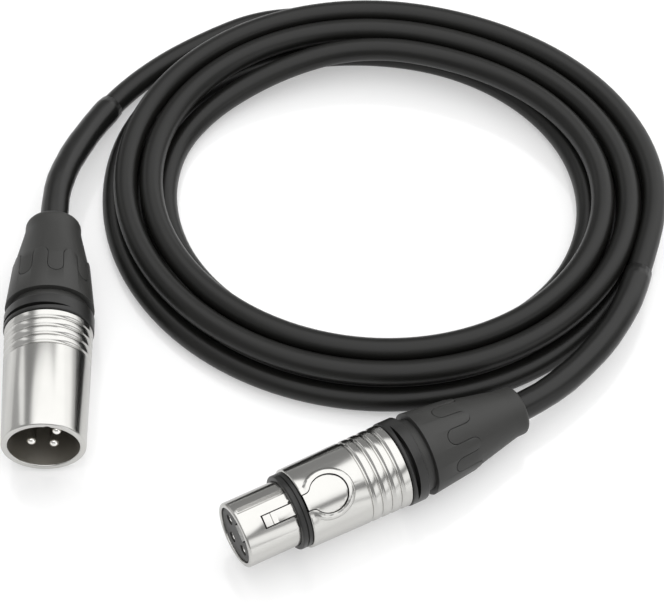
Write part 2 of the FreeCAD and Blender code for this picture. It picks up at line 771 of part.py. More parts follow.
def lead_points(end, placement, between):
    """The hand-set route of a free stretch, from inside the boot to the end face of the coil."""
    lengths = (end + "_shell_rear", "ring_length", "boot_gap_length", "boot_length")
    boot_end = sum(size(name) for name in lengths)
    inside = placement.multVec(Vector(0, 0, boot_end - size("lead_inset")))
    outside = placement.multVec(Vector(0, 0, boot_end + size("lead_straight")))
    lifted = [Vector(x, y, lift + size("cable_radius")) for x, y, lift in between]
    start, finish = coil_ends()
    if end == "socket":
        face, beyond = start, start - coil_direction(size("coil_first_angle")) * LAST_RUN
    else:
        face, beyond = finish, finish + coil_direction(size("coil_last_angle")) * LAST_RUN
    return [inside, outside] + lifted + [beyond, face]


def lead(end, placement, between):
    """A free stretch of cable, and the shrink sleeve over its first runs."""
    label = ENDS[end]
    edges = rounded_route(lead_points(end, placement, between), label + "_lead")
    radius = size("cable_radius")
    tube = swept_tube(edges, radius)
    report_volume(tube, edges, pi * radius ** 2, label + "_lead")
    solid_part(tube, label + "_lead")
    covered = edges[:2 * SLEEVE_RUNS]
    inner = radius + size("sleeve_gap")
    outer = inner + size("sleeve_wall")
    sleeve = swept_tube(covered, outer).cut(swept_tube(covered, inner))
    report_volume(sleeve, covered, pi * (outer ** 2 - inner ** 2), label + "_sleeve")
    solid_part(sleeve, label + "_sleeve")


socket_place = connector_placement("socket")
plug_place = connector_placement("plug")

socket_nose(socket_place)
socket_insert(socket_place)
socket_contacts(socket_place)
socket_collar(socket_place)
socket_shell(socket_place)
socket_latch(socket_place)
latch_spring(socket_place)
plug_shell(plug_place)
plug_insert(plug_place)
plug_pins(plug_place)
for end, place, between in (("socket", socket_place, SOCKET_LEAD), ("plug", plug_place, PLUG_LEAD)):
    boot_ring(end, place)
    boot(end, place)
    boot_relief(end, place)
    chuck(end, place)
    cable_end(end, place)
    lead(end, place, between)
coil()

doc.recompute()
for thing in doc.Objects:
    if "Invalid" in thing.State or "Error" in thing.State:
        raise RuntimeError("%s failed: %s" % (thing.Label, thing.State))
for piece in pieces:
    if piece.Shape.isNull() or not piece.Shape.isValid():
        raise RuntimeError("%s has no sound shape" % piece.Label)

os.makedirs("parts", exist_ok=True)
for piece in pieces:
    piece.Shape.exportStep("parts/%s.step" % piece.Label)
print(len(pieces), "sub-parts written")
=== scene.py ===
# %% [markdown]
# # A coiled microphone cable
# The construction model gives every piece its real place and size. This lesson dresses it: a smooth
# cable, shrink sleeves, nickel shells, black boots, a pale table and soft studio light. The scene
# is in metres. The cable's route and the connectors are drawn in millimetres, and MM scales them.
# The sleeves' lengths, the table and the lamp are in metres.

# %% Load the construction model
import json
from math import asin, atan2, cos, pi, radians, sin

import bmesh
import bpy
from mathutils import Matrix, Vector


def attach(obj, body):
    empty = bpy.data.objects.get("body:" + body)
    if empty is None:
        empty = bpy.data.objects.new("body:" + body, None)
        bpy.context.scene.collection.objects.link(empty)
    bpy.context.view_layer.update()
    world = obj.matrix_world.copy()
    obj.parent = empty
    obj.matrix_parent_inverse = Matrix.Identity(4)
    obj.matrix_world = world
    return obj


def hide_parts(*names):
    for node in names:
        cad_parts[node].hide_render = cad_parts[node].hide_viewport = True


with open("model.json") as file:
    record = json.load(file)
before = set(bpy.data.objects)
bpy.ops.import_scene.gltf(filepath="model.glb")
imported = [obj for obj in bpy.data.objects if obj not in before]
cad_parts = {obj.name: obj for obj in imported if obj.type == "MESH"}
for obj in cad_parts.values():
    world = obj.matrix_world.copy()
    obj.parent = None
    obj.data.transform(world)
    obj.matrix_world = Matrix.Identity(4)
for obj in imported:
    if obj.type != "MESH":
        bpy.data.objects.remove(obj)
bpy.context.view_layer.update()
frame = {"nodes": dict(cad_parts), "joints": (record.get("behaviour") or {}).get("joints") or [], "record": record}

MM = 0.001
nodes = frame["nodes"]
record = frame["record"]
print("pieces in the construction model:", len(nodes))

# %% [markdown]
# ## Where each connector lies
# A connector is easiest to model along its own axis: Z runs from its mating face to the cable, and
# X points through the latch or the polarising side. The record's mounts and joints give both
# frames, so nothing here is measured twice.

# %% Find the two connector frames
mounts = {mount["name"]: mount for mount in record["mounts"]}
joints = {joint["name"]: joint for joint in frame["joints"]}


def frame_matrix(origin, x_axis, z_axis):
    """A matrix that takes a connector's own coordinates to the scene's."""
    z_axis = z_axis.normalized()
    y_axis = z_axis.cross(x_axis).normalized()
    columns = (y_axis.cross(z_axis), y_axis, z_axis)
    matrix = Matrix([[column[row] for column in columns] for row in range(3)]).to_4x4()
    matrix.translation = origin
    return matrix


socket_axis = Vector(joints["socket_ring_slide"]["axis"])
socket_face = Vector(mounts["socket_nose"]["pos_m"])
socket_up = Vector(joints["latch_press"]["axis"]).cross(socket_axis)
SOCKET = frame_matrix(socket_face, socket_up, socket_axis)

plug_axis = Vector(joints["plug_ring_slide"]["axis"])
plug_face = Vector(mounts["plug_mouth"]["pos_m"])
plug_low = Vector(mounts["plug_pin_2"]["pos_m"]) - plug_face
PLUG = frame_matrix(plug_face, -(plug_low - plug_low.project(plug_axis)), plug_axis)
print("socket face at", socket_face, "plug face at", plug_face)

# %% [markdown]
# ## Camera
# The photograph was taken from in front, looking well down, with a long lens: the loop is hardly
# narrower at the back than at the front.

# %% Place the camera
CAMERA_PLACE = Vector((16.71, -316.63, 488.6)) * MM
CAMERA_PITCH = radians(35.45)
CAMERA_ROLL = radians(0.16)
CAMERA_LENS = 130.1

camera_data = bpy.data.cameras.new("camera")
camera_data.lens = CAMERA_LENS
camera_data.sensor_width = 36.0
camera = bpy.data.objects.new("camera", camera_data)
camera.matrix_world = (Matrix.Translation(CAMERA_PLACE) @ Matrix.Rotation(CAMERA_PITCH, 4, "X")
                       @ Matrix.Rotation(CAMERA_ROLL, 4, "Z"))
bpy.context.scene.collection.objects.link(camera)
bpy.context.scene.camera = camera
print("camera at", CAMERA_PLACE, "with a lens of", CAMERA_LENS, "mm")

# %% [markdown]
# ## The cable's route
# The coil is one run of cable: on the outermost lane of the upper layer first, one lane further in
# on each turn, down to the table, and out again. Two stretches of listed points lead from its ends to
# the boots. A quadratic NURBS spline stays inside its control points, so those of the coil stand out by
# the small amount that brings the curve back to its lane.

# %% Work out the coil's points
CABLE = 6.0
LOOP_HALF_WIDTH = 54.3
LOOP_HALF_DEPTH = 48.3
LOOP_TURNED = radians(-9.78)
LOOP_CENTRE = Vector((28.01, 62.87, 0))
LANE_PITCH = CABLE + 0.6
LAYER_PITCH = CABLE + 0.5
DROP_BOW = 2.0
COIL_FIRST, COIL_LAST = -10, 1900
COIL_STEP = 15
UPPER_TURNS, LOWER_TURNS = (0, 1, 2), (3, 4)
IN_FROM, OUT_FROM, DOWN_FROM, SHIFT_TURN = 5, 95, 815, 80
OUTER_LANE = 2.5


def smooth(share):
    """A share from 0 to 1 that starts and stops gently."""
    share = min(1.0, max(0.0, share))
    return share * share * (3 - 2 * share)


def coil_point(angle, spread=1.0):
    """A point of the coil's centre line in millimetres; the angle runs on from turn to turn."""
    low = CABLE / 2
    high = low + LAYER_PITCH
    steps_in = sum(smooth((angle - 360 * turn - IN_FROM) / SHIFT_TURN) for turn in UPPER_TURNS)
    steps_out = sum(smooth((angle - 360 * turn - OUT_FROM) / SHIFT_TURN) for turn in LOWER_TURNS)
    share = (angle - DOWN_FROM) / SHIFT_TURN
    down = smooth(share)
    bow = DROP_BOW * sin(pi * min(1.0, max(0.0, share))) ** 2
    out = LANE_PITCH * (OUTER_LANE - steps_in) * (1 - down) + LANE_PITCH * steps_out * down - bow
    turn = radians(angle)
    on_loop = Vector((LOOP_HALF_WIDTH * cos(turn), LOOP_HALF_DEPTH * sin(turn), 0))
    normal = Vector((LOOP_HALF_DEPTH * cos(turn), LOOP_HALF_WIDTH * sin(turn), 0)).normalized()
    flat = (on_loop + normal * out) * spread
    height = Vector((0, 0, high + (low - high) * down))
    return LOOP_CENTRE + Matrix.Rotation(LOOP_TURNED, 3, "Z") @ flat + height


def coil_direction(angle, reach=0.05):
    return (coil_point(angle + reach) - coil_point(angle - reach)).normalized()


coil_angles = list(range(COIL_FIRST + COIL_STEP, COIL_LAST, COIL_STEP))
spread = 1 / cos(radians(COIL_STEP / 2))
coil_points = [coil_point(angle, spread) for angle in coil_angles]
print("coil points:", len(coil_points))

# %% [markdown]
# ### The two free stretches
# Each one starts inside its boot, leaves it straight, and meets the coil in the coil's own
# direction. The points between are listed along the photograph's cable, with their height over the
# table.

# %% Set out the two free stretches
SHELL_REAR = {"socket": 41.5, "plug": 33.0}
RING_LENGTH, BOOT_GAP, BOOT_LENGTH = 4.4, 2.4, 27.0
LEAD_INSET, LEAD_STRAIGHT = 6.0, 5.0
LAST_RUN = 12.0
SOCKET_LEAD = ((73.2, 3.7, 5.3), (81.6, 12.6, 5.9))
PLUG_LEAD = ((-52.5, 62.8, 7.3), (-49.9, 72.8, 5.6), (-44.7, 85.6, 3.2), (-37.6, 97.5, 1.4),
             (-27.9, 108.0, 0.4), (-16.5, 116.3, 0.0), (-4.3, 123.0, 0.0))


def boot_end(end):
    return SHELL_REAR[end] + RING_LENGTH + BOOT_GAP + BOOT_LENGTH


def on_axis(matrix, station):
    """A point of a connector's axis, in millimetres like the rest of the route."""
    return (matrix @ Vector((0, 0, station * MM))) / MM


def lead_points(end, matrix, between, face, beyond):
    inside = on_axis(matrix, boot_end(end) - LEAD_INSET)
    outside = on_axis(matrix, boot_end(end) + LEAD_STRAIGHT)
    lifted = [Vector((x, y, lift + CABLE / 2)) for x, y, lift in between]
    return [inside, outside] + lifted + [beyond, face]


first_face = coil_point(COIL_FIRST) - coil_direction(COIL_FIRST) * CABLE
last_face = coil_point(COIL_LAST) + coil_direction(COIL_LAST) * CABLE
socket_lead = lead_points("socket", SOCKET, SOCKET_LEAD, first_face,
                          first_face - coil_direction(COIL_FIRST) * LAST_RUN)
plug_lead = lead_points("plug", PLUG, PLUG_LEAD, last_face,
                        last_face + coil_direction(COIL_LAST) * LAST_RUN)
route = [point * MM for point in socket_lead + coil_points + plug_lead[::-1]]
print("route points:", len(route))

# %% [markdown]
# ## The cable
# A curve with a round bevel is the natural way to draw a cord: its length comes from the route and
# its thickness from one number.

# %% Draw the cable as one curve
CORD_STEPS, CORD_ROUNDNESS = 6, 7


def spline_curve(name, points, radius):
    """A round cord along a quadratic NURBS spline that reaches both end points."""
    data = bpy.data.curves.new(name, "CURVE")
    data.dimensions = "3D"
    data.resolution_u = CORD_STEPS
    spline = data.splines.new("NURBS")
    spline.points.add(len(points) - 1)
    for slot, point in zip(spline.points, points):
        slot.co = (*point, 1.0)
    spline.order_u = 3
    spline.use_endpoint_u = True
    data.bevel_depth = radius
    data.bevel_resolution = CORD_ROUNDNESS
    data.use_fill_caps = True
    thing = bpy.data.objects.new(name, data)
    bpy.context.scene.collection.objects.link(thing)
    return thing


def spline_line(points):
    """The smooth line itself, read from the same spline without its thickness."""
    bare = spline_curve("route_line", points, 0.0)
    mesh = bpy.data.meshes.new_from_object(bare)
    line = [vertex.co.copy() for vertex in mesh.vertices]
    bpy.data.objects.remove(bare)
    bpy.data.meshes.remove(mesh)
    return line


cable = spline_curve("microphone_cable", route, CABLE / 2 * MM)
cable_line = spline_line(route)
cable_length = sum((b - a).length for a, b in zip(cable_line, cable_line[1:]))
print("cable length %.3f m" % cable_length)

# %% [markdown]
# ## Finishes
# Every surface here is nickel, contact metal, black plastic, soft rubber or cable jacket. None of
# them is one flat colour: handling leaves metal duller in patches, and a mould or an extruder
# leaves a fine skin on plastic that breaks up a highlight. Both effects are node groups, so each
# finish only sets its own values.

# %% Build the shared effects


def new_material(name):
    """A node material with its Principled shader, and the tree to build in."""
    material = bpy.data.materials.new(name)
    material.use_nodes = True
    tree = material.node_tree
    return material, tree, tree.nodes["Principled BSDF"]


def add_node(tree, kind, values=None, **settings):
    """A node with its settings and the unlinked values of its inputs."""
    node = tree.nodes.new(kind)
    for name, setting in settings.items():
        setattr(node, name, setting)
    for name, value in (values or {}).items():
        node.inputs[name].default_value = value
    return node


def new_group(name, inputs, outputs):
    """A node group with float sockets; returns its tree and its two end nodes."""
    group = bpy.data.node_groups.new(name, "ShaderNodeTree")
    for socket, value in inputs.items():
        made = group.interface.new_socket(socket, in_out="INPUT", socket_type="NodeSocketFloat")
        made.default_value = value
    for socket in outputs:
        group.interface.new_socket(socket, in_out="OUTPUT", socket_type="NodeSocketFloat")
    return group, group.nodes.new("NodeGroupInput"), group.nodes.new("NodeGroupOutput")


def patchy_roughness():
    """Handling marks: a roughness that drifts from patch to patch."""
    group, given, result = new_group("patchy_roughness",
                                     {"Roughness": 0.3, "Spread": 0.1, "Patches": 90.0},
                                     ["Roughness", "Patch"])
    place = add_node(group, "ShaderNodeTexCoord")
    noise = add_node(group, "ShaderNodeTexNoise", {"Detail": 5.0, "Roughness": 0.62})
    centred = add_node(group, "ShaderNodeMath", {1: 0.5}, operation="SUBTRACT")
    scaled = add_node(group, "ShaderNodeMath", operation="MULTIPLY")
    total = add_node(group, "ShaderNodeMath", operation="ADD", use_clamp=True)
    link = group.links.new
    link(place.outputs["Object"], noise.inputs["Vector"])
    link(given.outputs["Patches"], noise.inputs["Scale"])
    link(noise.outputs["Fac"], centred.inputs[0])
    link(centred.outputs[0], scaled.inputs[0])
    link(given.outputs["Spread"], scaled.inputs[1])
    link(given.outputs["Roughness"], total.inputs[0])
    link(scaled.outputs[0], total.inputs[1])
    link(total.outputs[0], result.inputs["Roughness"])
    link(noise.outputs["Fac"], result.inputs["Patch"])
    return group


def mould_grain():
    """The fine pebbled skin that a mould or an extruder leaves."""
    group, given, result = new_group("mould_grain", {"Grain": 2500.0, "Softness": 0.5}, ["Height"])
    place = add_node(group, "ShaderNodeTexCoord")
    cells = add_node(group, "ShaderNodeTexVoronoi", feature="SMOOTH_F1")
    noise = add_node(group, "ShaderNodeTexNoise", {"Detail": 3.0})
    mixed = add_node(group, "ShaderNodeMix")
    link = group.links.new
    for texture in (cells, noise):
        link(place.outputs["Object"], texture.inputs["Vector"])
        link(given.outputs["Grain"], texture.inputs["Scale"])
    link(given.outputs["Softness"], mixed.inputs["Factor"])
    link(cells.outputs["Distance"], mixed.inputs["A"])
    link(noise.outputs["Fac"], mixed.inputs["B"])
    link(mixed.outputs["Result"], result.inputs["Height"])
    return group


PATCHY = patchy_roughness()
GRAIN = mould_grain()
print("shared effects:", PATCHY.name, GRAIN.name)

# %% [markdown]
# ### The finishes themselves
# A finish is a row: two close colours that it drifts between, how metallic and how rough it is, how
# much the roughness wanders and over how large patches, how fine and deep its grain is, and its
# specular level. The nickel is satin, not mirror bright; the cable's jacket is almost black and
# only its highlights draw its shape.

# %% List the finishes
FINISHES = {
    #  name: colour, second colour,
    #        metallic, roughness, spread, patches, grain, depth in mm, specular
    "nickel": ((0.565, 0.56, 0.54), (0.52, 0.515, 0.497),
               1.0, 0.18, 0.09, 140.0, 1400.0, 0.0008, 0.5),
    "nickel_inside": ((0.46, 0.435, 0.39), (0.40, 0.38, 0.34),
                      1.0, 0.48, 0.12, 120.0, 1400.0, 0.004, 0.5),
    "black_plastic": ((0.016, 0.016, 0.0155), (0.022, 0.022, 0.021),
                      0.0, 0.38, 0.16, 160.0, 2600.0, 0.006, 0.4),
    "boot_plastic": ((0.030, 0.030, 0.0285), (0.037, 0.037, 0.035),
                     0.0, 0.46, 0.12, 110.0, 2400.0, 0.010, 0.4),
    "boot_rubber": ((0.028, 0.028, 0.0265), (0.035, 0.035, 0.033),
                    0.0, 0.52, 0.12, 110.0, 2000.0, 0.014, 0.4),
    "insert_plastic": ((0.045, 0.044, 0.042), (0.055, 0.054, 0.051),
                       0.0, 0.5, 0.1, 200.0, 3000.0, 0.006, 0.4),
    "contact_metal": ((0.90, 0.89, 0.86), (0.86, 0.85, 0.82),
                      1.0, 0.16, 0.08, 300.0, 2500.0, 0.001, 0.5),
    "jacket": ((0.0062, 0.0062, 0.0056), (0.0095, 0.0094, 0.0084),
               0.0, 0.38, 0.10, 60.0, 2200.0, 0.010, 0.34),
    "sleeve_plastic": ((0.007, 0.007, 0.0066), (0.010, 0.010, 0.0092),
                       0.0, 0.31, 0.12, 90.0, 1200.0, 0.010, 0.36),
    "core_insulation": ((0.4, 0.05, 0.04), (0.34, 0.04, 0.035),
                        0.0, 0.5, 0.1, 300.0, 3000.0, 0.004, 0.4),
}
print("finishes listed:", len(FINISHES))

# %% [markdown]
# Every finish is the same small network with its own values: the patches mix the colours and move
# the roughness, and the skin feeds the bump. Metals get a darker tint at grazing angles, because
# plain nickel is never as white at its edges as a perfect mirror.

# %% Mix the finishes
METAL_EDGE = (0.8, 0.8, 0.8, 1)
materials = {}


def mix_finish(name, colour, second, metallic, roughness, spread, patches, grain, depth, specular):
    material, tree, shader = new_material(name)
    patchy = add_node(tree, "ShaderNodeGroup", node_tree=PATCHY)
    patchy.inputs["Roughness"].default_value = roughness
    patchy.inputs["Spread"].default_value = spread
    patchy.inputs["Patches"].default_value = patches
    skin = add_node(tree, "ShaderNodeGroup", node_tree=GRAIN)
    skin.inputs["Grain"].default_value = grain
    tint = add_node(tree, "ShaderNodeMix", data_type="RGBA")
    tint.inputs["A"].default_value = (*colour, 1)
    tint.inputs["B"].default_value = (*second, 1)
    bump = add_node(tree, "ShaderNodeBump", {"Strength": 1.0, "Distance": depth * MM})
    link = tree.links.new
    link(patchy.outputs["Patch"], tint.inputs["Factor"])
    link(tint.outputs["Result"], shader.inputs["Base Color"])
    link(patchy.outputs["Roughness"], shader.inputs["Roughness"])
    link(skin.outputs["Height"], bump.inputs["Height"])
    link(bump.outputs["Normal"], shader.inputs["Normal"])
    shader.inputs["Metallic"].default_value = metallic
    shader.inputs["Specular IOR Level"].default_value = specular
    if metallic:
        shader.inputs["Specular Tint"].default_value = METAL_EDGE
    materials[name] = material


for finish_name, values in FINISHES.items():
    mix_finish(finish_name, *values)
print("finishes mixed:", len(materials))

# %% [markdown]
# ### Finishes for the construction model's own pieces
# Pieces whose shape is already right, such as the disc that carries the pins and what sits deep
# inside the shells, keep their mesh and only get a finish by the record's slot.

# %% Give every construction piece its finish
SLOT_FINISH = {"shell": "nickel", "black_plastic": "black_plastic", "boot": "boot_plastic",
               "soft_boot": "boot_rubber", "insert": "insert_plastic", "pin": "contact_metal",
               "spring": "nickel", "cable": "jacket", "sleeve": "sleeve_plastic",
               "core": "core_insulation"}
for subpart in record["subparts"]:
    piece_mesh = nodes[subpart["node"]].data
    piece_mesh.materials.clear()
    piece_mesh.materials.append(materials[SLOT_FINISH[subpart["material_slot"]]])
cable.data.materials.append(materials["jacket"])
print("construction pieces given a finish:", len(record["subparts"]))

# %% [markdown]
# ## Tools for turned pieces
# Shells, rings, pins and collars come off a lathe, so they are modelled that way: half an outline
# is spun round the axis. Everything is drawn in millimetres along the connector's own axis and put
# in place at the end.

# %% Write the lathe
ROUND_STEPS = 128
MERGE = 1e-4


def outline_arc(radius, station, bend, start, end, count=6):
    """Outline points on an arc about (radius, station); 0 degrees points outwards, 90 to the cable."""
    turns = [radians(start + (end - start) * index / count) for index in range(count + 1)]
    return [(radius + bend * cos(turn), station + bend * sin(turn)) for turn in turns]


def turned(outline, closed=True, steps=ROUND_STEPS):
    """Spins an outline of (radius, station) points round the axis."""
    build = bmesh.new()
    points = [build.verts.new((radius, 0, station)) for radius, station in outline]
    ends = points[1:] + points[:1] if closed else points[1:]
    edges = [build.edges.new(pair) for pair in zip(points, ends)]
    bmesh.ops.spin(build, geom=points + edges, cent=(0, 0, 0), axis=(0, 0, 1), angle=2 * pi,
                   steps=steps, use_merge=True)
    bmesh.ops.remove_doubles(build, verts=build.verts, dist=MERGE)
    bmesh.ops.recalc_face_normals(build, faces=build.faces)
    return build


print("a turned piece has", ROUND_STEPS, "steps round")

# %% [markdown]
# ## Tools for milled pieces
# Openings are cut with booleans, which is how a mill would do it. The cutters are blocks and rods
# made from the plain shapes, and each cut is turned into mesh at once, so that the next one works
# on it.

# %% Write the mill


def block(low, high):
    """A box between two corners."""
    build = bmesh.new()
    bmesh.ops.create_cube(build, size=1)
    low, high = Vector(low), Vector(high)
    bmesh.ops.scale(build, verts=build.verts, vec=high - low)
    bmesh.ops.translate(build, verts=build.verts, vec=(high + low) / 2)
    return build


def rod(radius, start, end, x=0.0, y=0.0, steps=32):
    """A cylinder along the axis, from one station to another."""
    build = bmesh.new()
    bmesh.ops.create_cone(build, cap_ends=True, segments=steps, radius1=radius, radius2=radius,
                          depth=end - start, matrix=Matrix.Translation((x, y, (start + end) / 2)))
    return build


def object_from(build, name):
    mesh = bpy.data.meshes.new(name)
    build.to_mesh(mesh)
    build.free()
    thing = bpy.data.objects.new(name, mesh)
    bpy.context.scene.collection.objects.link(thing)
    return thing


def bake(thing):
    """Turns the object's modifiers into mesh."""
    made = thing.evaluated_get(bpy.context.evaluated_depsgraph_get())
    old, mesh = thing.data, bpy.data.meshes.new_from_object(made)
    thing.modifiers.clear()
    thing.data = mesh
    bpy.data.meshes.remove(old)


def carve(thing, build, operation="DIFFERENCE"):
    """Cuts a shape from the piece, or joins it on."""
    cutter = object_from(build, "cutter")
    modifier = thing.modifiers.new("carve", "BOOLEAN")
    modifier.operation, modifier.object, modifier.solver = operation, cutter, "EXACT"
    bake(thing)
    bpy.data.objects.remove(cutter)


def add_shape(thing, build):
    """Adds a second closed shape to a piece, without a boolean."""
    whole = bmesh.new()
    whole.from_mesh(thing.data)
    mesh = bpy.data.meshes.new("second_shape")
    build.to_mesh(mesh)
    build.free()
    whole.from_mesh(mesh)
    bpy.data.meshes.remove(mesh)
    whole.to_mesh(thing.data)
    whole.free()


def turned_about_axis(build, degrees):
    bmesh.ops.rotate(build, verts=build.verts, matrix=Matrix.Rotation(radians(degrees), 3, "Z"))
    return build


def new_verts(made):
    """The vertices among what an operator made."""
    return [item for item in made["geom"] if isinstance(item, bmesh.types.BMVert)]


print("cutters: blocks and rods")

# %% [markdown]
# ## The finishing bench
# A small bevel breaks the edges that cuts leave, because bright edges are what makes metal look
# real. Then a piece gets its finish, its place and the body that it moves with, and the construction
# piece that it stands for is hidden. A lining is a second finish on the faces near the axis, for a
# tube that is dull inside.

# %% Write the finishing bench
SHARP_DEGREES = 38
SHARP = radians(SHARP_DEGREES)


def soften(thing, width, segments=2):
    """Breaks the sharp edges."""
    modifier = thing.modifiers.new("soften", "BEVEL")
    modifier.width, modifier.segments = width, segments
    modifier.limit_method, modifier.angle_limit = "ANGLE", SHARP
    bake(thing)


def finish_piece(thing, matrix, finish, body, slot, *replaced, lining=None):
    """Puts a finished piece in its place, hangs it on the body it moves with, and hides what it stands for."""
    mesh = thing.data
    mesh.materials.clear()
    mesh.materials.append(materials[finish])
    mesh.polygons.foreach_set("material_index", [0] * len(mesh.polygons))
    if lining:
        inner_finish, inner_radius, from_station = lining
        mesh.materials.append(materials[inner_finish])
        for face in mesh.polygons:
            middle = face.center
            if Vector((middle.x, middle.y)).length < inner_radius and middle.z > from_station:
                face.material_index = 1
    mesh.transform(matrix @ Matrix.Scale(MM, 4))
    mesh.shade_smooth()
    mesh.set_sharp_from_angle(angle=SHARP)
    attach(thing, body)
    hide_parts(*replaced)
    print(thing.name, "faces", len(mesh.polygons))


print("edges over", SHARP_DEGREES, "degrees count as sharp")

# %% [markdown]
# ## Tools for rolled pieces
# The button lies on a round shell, and the nut's fingers wrap round a cone. Both are easiest to
# draw flat, like a paper pattern, and then roll up: the distance across the pattern becomes an
# angle, and the height over it is added to the radius.

# %% Write the rolling tool
ON_PLANE = 1e-5


def roll_up(build, across, profile, upright=False):
    """Rolls a flat pattern: X is height, Y runs round at the radius given, Z along the profile.

    Its walls point at the axis, or all the same way where they are to stay upright."""
    for vertex in build.verts:
        height, around, along = vertex.co
        radius, station = profile(along)
        turn = around / across
        if upright:
            turn = asin(radius * sin(turn) / (radius + height))
        vertex.co = ((radius + height) * cos(turn), (radius + height) * sin(turn), station)


def slice_along(build, stations, normal=(0, 0, 1)):
    """Cuts the pattern across at each station, so that it can bend there."""
    for station in stations:
        bmesh.ops.bisect_plane(build, geom=build.verts[:] + build.edges[:] + build.faces[:],
                               plane_co=Vector(normal) * station, plane_no=normal, dist=ON_PLANE)


print("a pattern bends where it is sliced")

# %% [markdown]
# ## Both connectors' sizes
# Radii and stations are in millimetres, stations from the mating face. The grooves and the plug's
# rear follow the photograph, so the drawn wall of the plug ends a little before the construction
# model's.

# %% Name the connectors' sizes
NOSE_RADIUS, NOSE_BORE = 7.95, 6.8
COLLAR_FRONT, COLLAR_REAR = 13.1, 15.6
SHELL_FRONT_RADIUS, SHELL_REAR_RADIUS, SOCKET_BORE = 9.75, 10.15, 8.05
BUTTON_STATION, BUTTON_RADIUS, NECK_HALF, NECK_BLEND = 21.7, 4.5, 1.9, 2.0
GROOVE_COUNT, GROOVE_WIDTH, GROOVE_DEPTH = 4, 1.45, 0.42
GROOVES = {"socket": (31.3, 2.52), "plug": (23.2, 2.35)}
WALL_REAR = {"socket": 41.5, "plug": 32.3}
GROOVE_STEPS, REAR_CORNER = 10, 0.3
CONTACT_CIRCLE = 3.81
CONTACT_ANGLES = (90, 180, 270)


def socket_radius(station):
    share = (station - COLLAR_REAR) / (SHELL_REAR["socket"] - COLLAR_REAR)
    return SHELL_FRONT_RADIUS + share * (SHELL_REAR_RADIUS - SHELL_FRONT_RADIUS)


def grooved_wall(end, radius_at, start):
    """The outside of a shell from a start to its rear, with its rolled grooves."""
    points = [(radius_at(start), start)]
    first, pitch = GROOVES[end]
    for index in range(GROOVE_COUNT):
        middle = first + index * pitch
        for step in range(GROOVE_STEPS + 1):
            share = step / GROOVE_STEPS - 0.5
            station = middle + share * GROOVE_WIDTH
            points.append((radius_at(station) - GROOVE_DEPTH * cos(pi * share) ** 2, station))
    rear = WALL_REAR[end]
    return points + [(radius_at(rear - REAR_CORNER), rear - REAR_CORNER),
                     (radius_at(rear) - REAR_CORNER, rear)]


print("the socket shell's radius at the button: %.3f mm" % socket_radius(BUTTON_STATION))

# %% [markdown]
# ## The button's outline
# Button, gap and bead all have one outline: a circle with a neck that joins it in a smooth bend. It
# is worked out once, a little larger or smaller, and drawn flat before it is rolled on to the
# shell.

# %% Draw the button's outline
BEND_STEPS, BUTTON_STEPS = 8, 24
AROUND_STEP, ALONG_STEP = 0.6, 1.0
BUTTON_GAP, CUT_LOW, CUT_HIGH = 0.26, -4.0, 2.0


def button_outline(offset, start=COLLAR_REAR - 0.5):
    """The round button with its neck, a little larger or smaller, as (around, along) points."""
    bend = NECK_BLEND - offset
    reach = BUTTON_RADIUS + NECK_BLEND
    side = NECK_HALF + NECK_BLEND
    back = (reach ** 2 - side ** 2) ** 0.5
    meet = atan2(side, back)
    round_radius = BUTTON_RADIUS + offset
    half = [(NECK_HALF + offset, start)]
    for step in range(BEND_STEPS + 1):
        turn = (pi / 2 - meet) * step / BEND_STEPS
        half.append((side - bend * cos(turn), BUTTON_STATION - back + bend * sin(turn)))
    for step in range(1, BUTTON_STEPS + 1):
        turn = meet + (pi - meet) * step / BUTTON_STEPS
        half.append((round_radius * sin(turn), BUTTON_STATION - round_radius * cos(turn)))
    return half + [(-around, along) for around, along in half[-2::-1]]


def rolled_plate(outline, low, high, upright=False):
    """A plate of this outline between two heights over the shell, rolled on to it."""
    build = bmesh.new()
    build.faces.new([build.verts.new((high, around, along)) for around, along in outline])
    slice_along(build, [AROUND_STEP * step for step in range(-12, 13)], (0, 1, 0))
    slice_along(build, [COLLAR_REAR + ALONG_STEP * step for step in range(1, 14)])
    for vertex in new_verts(bmesh.ops.extrude_face_region(build, geom=build.faces[:])):
        vertex.co.x = low
    bmesh.ops.recalc_face_normals(build, faces=build.faces)
    roll_on_shell(build, upright)
    return build


def roll_on_shell(build, upright=False):
    roll_up(build, socket_radius(BUTTON_STATION), lambda along: (socket_radius(along), along), upright)


def button_cut():
    """What shell and nose give up for the button: its outline with the gap, in upright walls."""
    return rolled_plate(button_outline(BUTTON_GAP), CUT_LOW, CUT_HIGH, upright=True)


print("points round the button:", len(button_outline(0.0)))

# %% [markdown]
# ## Socket shell
# The shell is a slight cone with four rolled grooves near its rear and a low bead round the button.
# The bead fades out towards the collar, so it is one band of outlines, each at its own height. The
# gap round the button is cut last, through bead and wall together, with upright walls that let the
# button tip in.

# %% Turn the socket shell
#  each outline of the bead: how far outside the button, how high over the shell
BEAD = ((-1.0, 0.30), (0.33, 0.36), (0.65, 0.47), (1.05, 0.50),
        (1.4, 0.4), (1.65, 0.2), (1.82, 0.03), (1.9, -0.25))
BEAD_FRONT, BEAD_START, BEAD_RISE, BEAD_FLOOR = 15.9, 16.0, 2.4, -1.0
FRONT_SPLAY = 0.1
SHELL_LIP, SHELL_BEVEL, WALL_FROM = 0.35, 0.14, COLLAR_REAR + 0.9


